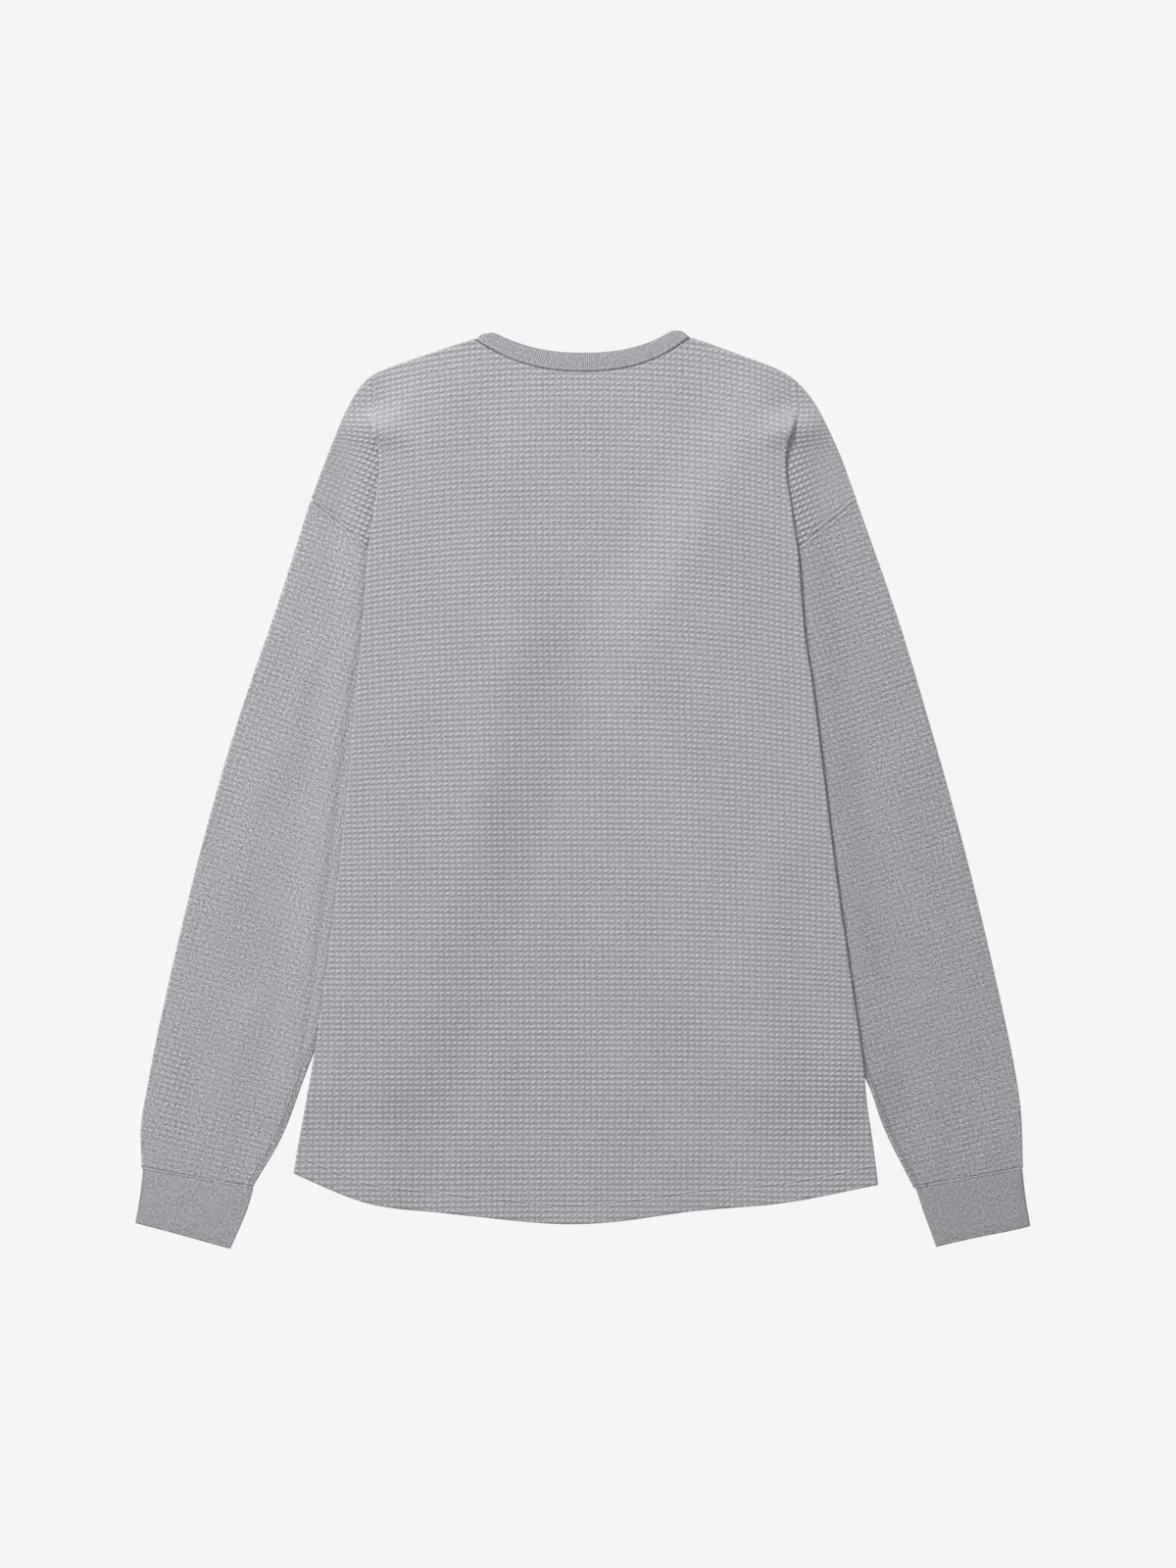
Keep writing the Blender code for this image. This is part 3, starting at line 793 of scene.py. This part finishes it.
class Sleeve:
    """A tube on a grid that follows the sleeve's own axis: s along it and q outwards from it.
    It is worked out for the right side and mirrored for the left.
    """

    def __init__(self, side):
        self.side = side
        ends = next_piece_ends(SHOULDER_TIP, UNDERARM, 0.0, UNDERARM_CLEAR)
        outer, inner = edge_lines(ends, SLEEVE, np.linspace(0.0, 1.0, 400))
        middle = (outer + inner) / 2
        before = np.linspace(-130, -2, 60)[:, None] * unit(middle[20] - middle[0])
        after = np.linspace(2, 60, 30)[:, None] * unit(middle[-1] - middle[-20])
        axis = np.concatenate([middle[0] + before, middle, middle[-1] + after])
        for _ in range(60):                                # an even, gently bending line
            axis[1:-1] = (axis[:-2] + 2 * axis[1:-1] + axis[2:]) / 4
        steps = np.linalg.norm(np.diff(axis, axis=0), axis=1)
        self.axis, self.station = axis, np.concatenate([[0], np.cumsum(steps)])
        self.way = unit(np.gradient(axis, axis=0))
        self.edges = []
        for line in (outer, inner):
            ahead = np.linspace(-60, -3, 12)[:, None] * unit(line[8] - line[0])
            beyond = np.linspace(3, 40, 8)[:, None] * unit(line[-1] - line[-9])
            found = self.on_axis(np.concatenate([line[0] + ahead, line, line[-1] + beyond]))
            self.edges.append(found[np.argsort(found[:, 0])])
        across = np.linspace(-0.3, 1.3, 60)[:, None]
        self.ends = []
        for k in (0, -1):
            found = self.on_axis(outer[k] + across * (inner[k] - outer[k]))
            self.ends.append(found[np.argsort(found[:, 1])])
        self.first = self.station[0]
        count = int((self.station[-1] - self.first) / STEP_ALONG)
        self.levels = self.first + STEP_ALONG * np.arange(count)

    def plan(self, s, q):
        centre, ahead = (stack(*(np.interp(s, self.station, line[:, k]) for k in (0, 1)))
                         for line in (self.axis, self.way))
        ahead = unit(ahead)
        return centre + stack(-ahead[..., 1], ahead[..., 0]) * q[..., None]

    def on_axis(self, points):
        """s and q of points in plan."""
        found = []
        for point in points:
            gap = point - self.axis
            ahead = (gap * self.way).sum(1)
            k = int(np.argmin(np.abs(ahead)))
            aside = np.array([-self.way[k, 1], self.way[k, 0]])
            found.append((self.station[k] + ahead[k], float(gap[k] @ aside)))
        return np.array(found)

    def reach(self, s, which):
        """Distance from the axis to the outer edge (0) or the inner edge (1)."""
        return np.abs(np.interp(s, self.edges[which][:, 0], self.edges[which][:, 1]))

    def end_at(self, which, q):
        """s of the head (0) or the foot (1) at q."""
        return np.interp(q, self.ends[which][:, 1], self.ends[which][:, 0])

    def column(self, q_of, turned, cloth_u, upper=True, free=False):
        """One column: q and the place in the cloth as functions of s, and how far it has turned."""
        s = self.levels.copy()
        low, high = 0.0, 500.0
        for _ in range(12):
            low = float(self.end_at(0, q_of(np.array([low]))[0])) + SEAM_ROUND
            high = float(self.end_at(1, q_of(np.array([high]))[0])) - SEAM_ROUND
        j_low, j_high = (int(round((end - self.first) / STEP_ALONG)) for end in (low, high))
        s[j_low], s[j_high] = low, high
        q = q_of(s)
        point = self.plan(s, q)
        return dict(s=s, q=q, x=point[:, 0], y=point[:, 1], aside=self.plan(s, q + 1.0) - point,
                    turned=turned, upper=upper, u=cloth_u(s), low=j_low, high=j_high, free=free)

    def columns(self, which, sign):
        """From the middle of the upper ply out to a fold, round it, and back to the middle below."""
        def fold(s):
            return self.reach(s, which) - EDGE

        def free_q(s):
            return sign * np.minimum(k * STEP_ACROSS, fold(s) - FOLD_MARGIN)

        columns = []
        for k in range(which, SLEEVE_COLUMNS):
            columns.append(self.column(free_q, 0.0, free_q, free=True))
        for share in SLEEVE_TURN_SHARES:
            columns.append(self.column(
                lambda s: sign * (fold(s) + min(share, 0.0)), sign * max(share, 0.0) * PI,
                lambda s: sign * (fold(s) + TURN_LENGTH * max(share, 0.0))))
        for share in (0.12, 0.35, 0.65, 1.0):
            columns.append(self.column(
                lambda s: mix(sign * fold(s), (self.reach(s, 0) - self.reach(s, 1)) / 2, share),
                sign * PI,
                lambda s: sign * (fold(s) + TURN_LENGTH
                                  + share * (self.reach(s, 0) + self.reach(s, 1)) / 2),
                upper=False))
        captured = np.round((fold(self.levels) - FOLD_MARGIN) / STEP_ACROSS).astype(int)
        return columns, captured

    def dress(self, column, ridges, pressed_ridges):
        """Gives a column its points, its place in the cloth, its creases and its relief."""
        x, y, s, q = (column[key] for key in ("x", "y", "s", "q"))
        angle = abs(column["turned"])
        aside = stack(column["aside"][:, 0], column["aside"][:, 1], 0.0)
        normal = aside * np.sign(column["turned"]) * np.sin(angle) + stack(0, 0, 1) * np.cos(angle)
        place = stack(x, y, FLOOR_PLY + TURN + lift(x, y)) + normal * EDGE
        bold = 0.58 + 0.10 * np.sin(x / 40.0 + y / 70.0) + 0.08 * smooth((y + 60.0) / 240.0)
        head_gap, foot_gap = s - self.end_at(0, q), self.end_at(1, q) - s
        outer_gap, inner_gap = self.reach(s, 0) - q, self.reach(s, 1) + q
        if column["upper"]:
            out = outside(x, y)
            under_body = smooth((out + 1.0) / 12.0)
            fade = smooth(head_gap / 22.0) * smooth(foot_gap / 14.0) * under_body
            fade *= smooth(np.minimum(outer_gap, inner_gap) / 12.0)
            shape = creases(ridges, x, y) + 0.8 * ripple(x * self.side + 40.0, y)
            seam = -0.30 * bell(inner_gap - 4.2, 1.2)
            ridge = 0.35 * bell(head_gap - 2.4, 1.2) - 0.35 * bell(head_gap - 5.2, 1.0)
            gather = 0.18 * np.cos(2 * PI * q / 7.3) * bell(foot_gap, 7.0)
            beside_fold = -1.4 * bell(out - 0.1, 1.8) * column["free"]
            raise_by = shape * fade + (seam + ridge + gather) * under_body + beside_fold
            raise_by = raise_by * max(np.cos(angle), 0.0)
            if column["free"]:
                raise_by += RELIEF * (bold * waffle(column["u"], s) - SUNK)
            place = place + normal * raise_by[:, None]
            bold = bold + 0.9 * np.clip(creases(pressed_ridges, x, y), 0.0, 1.0) * (x > 312.0)
        mirror = np.array([self.side, 1.0, 1.0])
        column["place"], column["normal"] = place * mirror, normal * mirror
        column["cloth"] = stack(column["u"] * self.side, s, bold, foot_gap, head_gap, inner_gap)

    def make(self, name, material, ridges, pressed_ridges):
        inner_side, inner_captured = self.columns(1, -1.0)
        outer_side, outer_captured = self.columns(0, 1.0)
        chain = inner_side[::-1] + outer_side
        for column in chain:
            self.dress(column, ridges, pressed_ridges)
        mesh = Mesh()
        table = mesh.grid(chain)
        middle = len(inner_side)
        free = np.arange(SLEEVE_COLUMNS)
        capture(table, middle - free, inner_captured)
        capture(table, middle + free, outer_captured)
        table[:, 0] = table[:, -1]                         # the lower ply closes at its middle
        mesh.skin(table, flip=self.side < 0)
        for row, end, sign, back, allowance in ((0, "low", -1.0, 0.15, 1.6),
                                                (-1, "high", 1.0, 0.4, 0.0)):
            ids = table[row]
            keep = distinct(ids)
            ups, aside = (np.array([column[key][column[end]] for column in chain])[keep]
                          for key in ("normal", "aside"))
            out = sign * stack(aside[:, 1] * self.side, -aside[:, 0], 0.0)
            wrap(mesh, ids[keep], ups, out, SEAM_ROUND, 90, back, steps=3,
                 flip=(self.side < 0) != (row == 0), allowance=allowance)
        return mesh.make(name, material)


# ---------------------------------------------------------------- cuffs

def close_ring(mesh, grid, ups, flip):
    """Joins the last column to the first, and makes the faces."""
    table, ups = np.array(grid + grid[:1]).T, np.array(ups + ups[:1])
    mesh.skin(table, flip)
    return table, ups


def cuff(name, material, side):
    ends = next_piece_ends(SLEEVE[-1][1:3], SLEEVE[-1][3:5], CUFF_STEP, CUFF_STEP)
    shares = np.concatenate([[0.008], np.linspace(0.03, 0.97, 18), [0.985]])
    outer, inner = edge_lines(ends, CUFF, shares)
    along = unit(inner - outer)
    ribs = int(round(np.hypot(CUFF[0][1] - CUFF[0][3], CUFF[0][2] - CUFF[0][4]) / CUFF_RIB))
    width = ribs * CUFF_RIB
    stations = [(share, 0.0) for share in np.linspace(0.0, 1.0, ribs * 4 + 1)]
    stations += [(1.0, PI * k / 8) for k in range(1, 9)]
    stations += [(share, PI) for share in (0.75, 0.5, 0.25, 0.0)]
    stations += [(0.0, PI + PI * k / 8) for k in range(1, 8)]
    mesh = Mesh()
    grid, ups = [], []
    for share, angle in stations:
        centre = mix(outer + along * EDGE, inner - along * EDGE, share)
        normal = stack(along[:, 0] * np.sin(angle), along[:, 1] * np.sin(angle), np.cos(angle))
        place = stack(centre[:, 0], centre[:, 1], FLOOR_PLY + TURN) + normal * EDGE
        turned_u = width + EDGE * angle + (width if angle > PI else 0.0)
        if angle == PI:
            turned_u = width + TURN_LENGTH + (1 - share) * width
        if angle == 0.0:
            turned_u = share * width
            rib = np.cos(2 * PI * share * ribs)
            height = (0.20 * rib + 0.12 * np.sin(shares * 9.0 + share * 14.0)
                      + 0.35 * smooth((0.5 - np.abs(share - 0.5)) / 0.12)
                      + 0.25 * bell(share - 0.36, 0.05) + 0.2 * bell(share - 0.74, 0.04))
            height = height * smooth(np.minimum(shares, 1 - shares) / 0.08) + 0.10 * rib
            place = place + normal * (height * 0.8)[:, None]
        down = shares * CUFF_LENGTH
        cloth = stack(turned_u, -down, 1.0, down, CUFF_LENGTH - down, FAR)
        mirror = np.array([side, 1.0, 1.0])
        grid.append(mesh.add(place * mirror, cloth))
        ups.append(normal * mirror)
    table, ups = close_ring(mesh, grid, ups, side > 0)
    for row, beside, radius, turn, back, allowance in ((0, 1, SEAM_ROUND, 90, 0.15, 1.6),
                                                       (-1, -2, HEM_ROUND, 180, 12.0, 0.0)):
        way = (mesh.at(table[row])[0] - mesh.at(table[beside])[0]) * (1.0, 1.0, 0.0)
        wrap(mesh, table[row], ups[:, row], unit(way), radius, turn, back, steps=5,
             flip=(side > 0) != (row == 0), allowance=allowance)
    return mesh.make(name, material)


# ---------------------------------------------------------------- neck band

def neck_band(name, material):
    shoulder = float(shoulder_y(NECK_HALF)) + SEAM_GAP
    shares = np.concatenate([[0.03], np.linspace(0.08, 0.9, 10), [0.955]])
    half = NECK_HALF - SEAM_GAP - shares * BAND_LEAN
    side_y = shoulder + shares * BAND_RISE
    down = shares * BAND_WIDTH
    limit = (half - EDGE) / half
    ribs = int(round((2 * NECK_HALF + 14.0) / NECK_RIB))
    arc = ribs * NECK_RIB
    mesh = Mesh()
    stations = [("back", x, 0.0) for x in np.linspace(-1, 1, ribs * 4 + 1)]
    stations += [("turn", 1.0, PI * k / 8) for k in range(1, 8)]
    stations += [("front", x, PI) for x in np.linspace(1, -1, 33)]
    stations += [("turn", -1.0, PI * k / 8) for k in range(7, 0, -1)]
    grid, ups = [], []
    for kind, x_share, angle in stations:
        x_at = np.abs(x_share) * limit
        corner = 4.2 * shares ** 3 * np.clip((np.abs(x_share) - 0.88) / 0.12, 0.0, 1.0) ** 2
        back_y = mix(shoulder - BACK_NECK + down, side_y, x_at ** BACK_POWER)
        front_y = mix(shoulder - FRONT_NECK + down, side_y, x_at ** FRONT_POWER)
        y = mix(back_y, front_y, angle / PI) - corner
        x, face = x_share * limit * half, WALL / 2
        if kind == "back":
            z, u = FLOOR_PLY + PITCH, x_share * arc / 2
            ribbing = 0.16 * np.cos(PI * x_share * ribs) + 0.05
            face += (0.45 * np.sin(PI * shares) + ribbing) * smooth((1.0 - np.abs(x_share)) / 0.06)
        elif kind == "front":
            z, u = FLOOR_PLY, arc / 2 + 4.0 + (1 - x_share) * arc / 2
        else:
            z, u, face = FLOOR_PLY + TURN, x_share * (arc / 2 + 0.5 * angle), EDGE
        up = stack(x_share * np.sin(angle) if kind == "turn" else 0.0, 0.0, np.cos(angle))
        place = stack(x, y, z) + up * np.reshape(face, (-1, 1))
        cloth = stack(u, down, 1.0, down, BAND_WIDTH - down, FAR)
        grid.append(mesh.add(place, cloth))
        ups.append(np.tile(up, (len(shares), 1)))
    table, ups = close_ring(mesh, grid, ups, False)
    flat = np.array([kind != "turn" and abs(x_share) < 0.95 for kind, x_share, _ in stations]
                    + [True])
    width_way = unit((mesh.at(table[-1])[0] - mesh.at(table[0])[0]) * (1.0, 1.0, 0.0))
    for row, way, radius, turn, back, allowance in (
            (0, -width_way, 0.35, 90, 0.3, np.where(flat, 2.0, 1.4)),
            (-1, width_way, HEM_ROUND, 180, np.where(flat, 11.0, 0.8), 0.0)):
        wrap(mesh, table[row], ups[:, row], way, radius, turn, back, steps=5,
             flip=row == 0, allowance=allowance)
    return mesh.make(name, material)


# ---------------------------------------------------------------- materials

class Nodes:
    """Short words for building a node tree."""

    def __init__(self, material):
        material.use_nodes = True
        self.tree = material.node_tree
        self.shader = self.tree.nodes["Principled BSDF"]

    def put(self, socket, value):
        if isinstance(value, bpy.types.NodeSocket):
            self.tree.links.new(value, socket)
        else:
            socket.default_value = value

    def math(self, operation, *values):
        node = self.tree.nodes.new("ShaderNodeMath")
        node.operation = operation
        for socket, value in zip(node.inputs, values):
            self.put(socket, value)
        return node.outputs[0]

    def add(self, *values):
        total = values[0]
        for value in values[1:]:
            total = self.math("ADD", total, value)
        return total

    def times(self, *values):
        total = values[0]
        for value in values[1:]:
            total = self.math("MULTIPLY", total, value)
        return total

    def wave(self, at, pitch, power=1.0):
        """1 at whole pitches and 0 between them."""
        turn = self.math("COSINE", self.times(at, 2 * PI / pitch))
        level = self.math("MULTIPLY_ADD", turn, 0.5, 0.5)
        return self.math("POWER", level, power) if power != 1.0 else level

    def noise(self, vector, size, detail=2.0, rough=0.5):
        """Noise with features of about a size, in the vector's units."""
        node = self.tree.nodes.new("ShaderNodeTexNoise")
        self.put(node.inputs["Vector"], vector)
        node.inputs["Scale"].default_value = 1.0 / size
        node.inputs["Detail"].default_value = detail
        node.inputs["Roughness"].default_value = rough
        return node.outputs["Fac"]

    def about_none(self, noise, amount):
        """Noise of an amount, on both sides of none."""
        return self.times(self.math("SUBTRACT", noise, 0.5), amount)

    def attribute(self, name):
        """The three values that go with each point under a name."""
        node = self.tree.nodes.new("ShaderNodeAttribute")
        node.attribute_name = name
        split = self.tree.nodes.new("ShaderNodeSeparateXYZ")
        self.put(split.inputs[0], node.outputs["Vector"])
        return split.outputs

    def cloth(self):
        """Place across and along the cloth, the knit's boldness, and the place as a vector."""
        u, v, bold = self.attribute("cloth")
        flat = self.tree.nodes.new("ShaderNodeCombineXYZ")
        self.put(flat.inputs[0], u)
        self.put(flat.inputs[1], v)
        return u, v, bold, flat.outputs[0]

    def line(self, distance, at, width):
        """1 along a line at a distance from an edge, falling off over a width."""
        off = self.math("DIVIDE", self.math("SUBTRACT", distance, at), width)
        return self.math("EXPONENT", self.times(off, off, -1.0))

    def tint(self, colour, level):
        """A colour made lighter or darker."""
        node = self.tree.nodes.new("ShaderNodeVectorMath")
        node.operation = "SCALE"
        node.inputs[0].default_value = colour
        self.put(node.inputs["Scale"], level)
        return node.outputs[0]

    def bump(self, height, distance, strength=1.0):
        node = self.tree.nodes.new("ShaderNodeBump")
        node.inputs["Distance"].default_value = distance
        self.put(node.inputs["Strength"], strength)
        self.put(node.inputs["Height"], height)
        self.put(self.shader.inputs["Normal"], node.outputs[0])

    def finish(self, colour, rough, sheen=0.25):
        self.put(self.shader.inputs["Base Color"], colour)
        self.put(self.shader.inputs["Roughness"], rough)
        self.shader.inputs["Specular IOR Level"].default_value = 0.18
        self.shader.inputs["Sheen Weight"].default_value = sheen
        self.shader.inputs["Sheen Roughness"].default_value = 0.6


# Seams and stitch lines: which edge, distance from it, half width, change of shade, height. The
# change is painted shade in the grooves and crevices and painted light on the ridges.
# The widest line is painted shade, darkening the cloth round the armhole.
BODY_SEAMS = (
    (0, 15.2, 0.55, -0.08, -0.25),
    (0, 16.7, 0.60, 0.14, 0.35),
    (0, 13.6, 0.50, 0.05, 0.2),
    (0, 0.3, 0.90, -0.12, 0.0),
    (1, 0.1, 0.50, -0.05, -0.15),
    (1, 1.5, 0.70, 0.08, 0.4),
    (1, 3.2, 0.50, -0.12, -0.3),
    (1, 34.0, 34.0, -0.065, 0.0),
    (2, 0.2, 0.60, -0.34, -0.5),
)
SLEEVE_SEAMS = (
    (1, 0.1, 0.50, -0.05, -0.15),
    (1, 1.5, 0.70, 0.10, 0.4),
    (1, 3.2, 0.50, -0.10, -0.3),
    (0, 0.9, 0.75, 0.22, 0.5),
    (0, 2.6, 0.50, -0.12, -0.3),
    (2, 3.4, 0.50, -0.17, -0.5),
    (2, 4.4, 0.45, 0.08, 0.3),
    (2, 5.4, 0.50, -0.14, -0.5),
)
NECK_SEAMS = (
    (0, 0.2, 0.60, -0.35, -0.5),
    (0, 2.4, 1.30, 0.08, 0.0),
    (1, 0.3, 0.80, -0.20, -0.4),
)
CUFF_SEAMS = (
    (0, 0.2, 0.50, -0.10, -0.3),
    (1, 0.3, 0.80, -0.36, -0.4),
    (1, 2.2, 0.60, 0.06, 0.2),
)


def seam_lines(n, seams):
    """Painted shade and light, and height, of the seams' lines."""
    edges = n.attribute("edges")
    painted_seam_shading, height = 0.0, 0.0
    for which, at, width, shade, rise in seams:
        line = n.line(edges[which], at, width)
        painted_seam_shading = n.add(painted_seam_shading, n.times(line, shade))
        height = n.add(height, n.times(line, rise))
    return painted_seam_shading, height


def waffle_knit(name, colour, seams, speckle=1.0, grain=1.7):
    material = bpy.data.materials.new(name)
    n = Nodes(material)
    u, v, bold, flat = n.cloth()
    wobble = n.math("MULTIPLY_ADD", n.noise(flat, 11.0, 1.0), 1.3, -0.65)
    u_soft, v_soft = n.add(u, wobble), n.add(v, n.times(wobble, 0.7))
    slant = n.math("SINE", n.times(v_soft, 2 * PI / CELL_ALONG))
    across, along = n.wave(u_soft, CELL_ACROSS), n.wave(v_soft, CELL_ALONG)
    u_slant = n.add(u_soft, n.times(slant, -0.75))
    nub = n.times(n.wave(u_slant, CELL_ACROSS, 1.8), n.wave(v_soft, CELL_ALONG, 1.6))
    # below is painted shadow just under each row of nubs, and the pit term is painted shade in the
    # hollows between them
    below = n.times(n.wave(n.add(v_soft, 1.5), CELL_ALONG, 3.0), n.wave(u_soft, CELL_ACROSS, 0.6))
    painted_pit_shade = n.times(n.wave(n.add(u_soft, CELL_ACROSS / 2), CELL_ACROSS, 1.4),
                  n.wave(n.add(v_soft, 1.9), CELL_ALONG))
    form = n.add(n.times(nub, 0.56), n.times(across, 0.12), n.times(along, 0.20))
    loops = n.times(n.wave(u_soft, CELL_ACROSS / 4), n.wave(v_soft, CELL_ALONG / 5))
    fuzz = n.noise(flat, 0.75, 3.0, 0.65)
    yarn = n.noise(flat, grain, 3.0, 0.7)
    broad = n.noise(flat, 55.0, 2.0)
    patch = n.math("MULTIPLY_ADD", n.noise(flat, 14.0, 2.0), 0.9, 0.55)
    strength = n.times(bold, patch)
    painted_seam_shading, ridge = seam_lines(n, seams)
    n.bump(n.add(n.times(form, strength, 0.85), n.times(loops, 0.10), n.times(fuzz, 0.42),
                 n.times(yarn, 0.25), ridge), 0.0011, 0.9)
    # The colour carries painted light and shade: lighter on the nubs and on the ribs across, painted
    # shadow below the nubs, painted shade in the pits, and the seams' painted shade and light. The
    # yarn, fuzz and broad noise are the heather's own mottling.
    level = n.add(0.80, painted_seam_shading,
                  n.times(nub, strength, 0.27),
                  n.times(below, strength, -0.15),
                  n.times(painted_pit_shade, strength, -0.07),
                  n.about_none(yarn, 1.15 * speckle),
                  n.about_none(fuzz, 0.80 * speckle),
                  n.about_none(broad, 0.10),
                  n.times(across, bold, 0.05))
    n.finish(n.tint(colour, level), 0.93)
    return material


def rib_knit(name, colour, pitch, seams):
    material = bpy.data.materials.new(name)
    n = Nodes(material)
    u, v, bold, flat = n.cloth()
    rib = n.wave(u, pitch)
    fuzz = n.noise(flat, 0.7, 3.0, 0.65)
    yarn = n.noise(flat, 1.9, 3.0, 0.7)
    loops = n.wave(v, 0.9)
    painted_seam_shading, ridge = seam_lines(n, seams)
    n.bump(n.add(n.times(rib, 0.6), n.times(loops, 0.12), n.times(fuzz, 0.40), ridge), 0.0008, 0.8)
    # The ribs are made lighter as painted light, and the seams' lines carry painted shade and light.
    # The yarn and fuzz noise are the heather's own mottling.
    level = n.add(0.84, painted_seam_shading, n.times(rib, 0.20),
                  n.about_none(yarn, 2.1),
                  n.about_none(fuzz, 0.8))
    n.finish(n.tint(colour, level), 0.92)
    return material


body_look = waffle_knit("waffle_heather", (0.491, 0.473, 0.515), BODY_SEAMS, 1.25)
# The two sleeves are one cloth, and so are the two cuffs: the left copies are lighter as painted
# light, the right copies darker as painted shade.
left_sleeve_lit_look = waffle_knit("waffle_heather_left_sleeve_painted_lit", (0.495, 0.475, 0.519), SLEEVE_SEAMS, 2.3, 1.5)
right_sleeve_shaded_look = waffle_knit("waffle_heather_right_sleeve_painted_shade", (0.457, 0.440, 0.480), SLEEVE_SEAMS,
                         2.3, 1.5)
cuff_left_lit_look = rib_knit("rib_heather_left_cuff_painted_lit", (0.403, 0.388, 0.425), CUFF_RIB, CUFF_SEAMS)
cuff_right_shaded_look = rib_knit("rib_heather_right_cuff_painted_shade", (0.370, 0.356, 0.390), CUFF_RIB, CUFF_SEAMS)
band_look = rib_knit("rib_heather_neck", (0.41, 0.397, 0.434), NECK_RIB, NECK_SEAMS)


# ---------------------------------------------------------------- the pieces

pieces = {
    "back": Panel(True).make("back_cloth", body_look),
    "front": Panel(False).make("front_cloth", body_look),
    "sleeve_left": Sleeve(-1).make("sleeve_left_cloth", left_sleeve_lit_look, LEFT_CREASES, LEFT_PRESSED),
    "sleeve_right": Sleeve(1).make("sleeve_right_cloth", right_sleeve_shaded_look, RIGHT_CREASES, RIGHT_PRESSED),
    "cuff_left": cuff("cuff_left_cloth", cuff_left_lit_look, -1),
    "cuff_right": cuff("cuff_right_cloth", cuff_right_shaded_look, 1),
    "neck_band": neck_band("neck_band_cloth", band_look),
}
# Cut of each: width, length and flat area in metres
CUTS = {
    "back": (0.585, 0.757, 0.384),
    "front": (0.585, 0.757, 0.369),
    "sleeve_left": (0.36, 0.60, 0.155),
    "sleeve_right": (0.36, 0.60, 0.155),
    "cuff_left": (0.182, 0.047, 0.0084),
    "cuff_right": (0.182, 0.047, 0.0084),
    "neck_band": (0.425, 0.031, 0.0128),
}
LIES_ON = {
    "back": ["front", "sleeve_left", "sleeve_right"],
    "neck_band": ["front"],
}
for node, piece in pieces.items():
    width, length, area = CUTS[node]
    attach(piece, "root")
    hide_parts(node)
    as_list(LIES_ON.get(node, ()))


# ---------------------------------------------------------------- surface, light and camera

def add_object(name, data):
    item = bpy.data.objects.new(name, data)
    bpy.context.collection.objects.link(item)
    return item


def pale_surface():
    data = bpy.data.meshes.new("surface")
    side, level = 4.0, -0.0002
    data.from_pydata([(-side, -side, level), (side, -side, level), (side, side, level),
                      (-side, side, level)], [], [(0, 1, 2, 3)])
    material = bpy.data.materials.new("pale_surface")
    n = Nodes(material)
    n.finish((0.0, 0.0, 0.0, 1.0), 1.0, sheen=0.0)
    n.shader.inputs["Specular IOR Level"].default_value = 0.0
    n.shader.inputs["Emission Color"].default_value = (0.913, 0.913, 0.913, 1.0)
    n.shader.inputs["Emission Strength"].default_value = 1.0
    data.materials.append(material)
    return add_object("surface", data)


pale_surface()

key_data = bpy.data.lights.new("key", "AREA")
key_data.energy, key_data.shape, key_data.size = 109.0, "DISK", 0.8
key = add_object("key", key_data)
key.location = (-1.5, 2.6, 2.0)
key.rotation_euler = (-key.location).to_track_quat("-Z", "Y").to_euler()

world = bpy.data.worlds.new("studio")
bpy.context.scene.world = world
world.use_nodes = True
world.node_tree.nodes["Background"].inputs["Color"].default_value = (1.0, 1.0, 1.0, 1.0)
world.node_tree.nodes["Background"].inputs["Strength"].default_value = 0.58

low, high = bounds_before
FRAME_HEIGHT = 1.312              # metres of the surface from the frame's foot to its top
DISTANCE = 4.0
CLOTH_HEIGHT = 0.006
SHIFT = (0.0045, 0.0035)          # of the frame's middle from the garment's
SENSOR_HEIGHT = 36.0
camera_data = bpy.data.cameras.new("camera")
camera = add_object("camera", camera_data)
camera.location = ((low[0] + high[0]) / 2 + SHIFT[0], (low[1] + high[1]) / 2 + SHIFT[1], DISTANCE)
camera_data.sensor_fit = "VERTICAL"
camera_data.sensor_height = SENSOR_HEIGHT
camera_data.lens = SENSOR_HEIGHT * (DISTANCE - CLOTH_HEIGHT) / FRAME_HEIGHT
camera_data.clip_end = 50.0
bpy.context.scene.camera = camera
bpy.context.scene.view_settings.view_transform = "Standard"
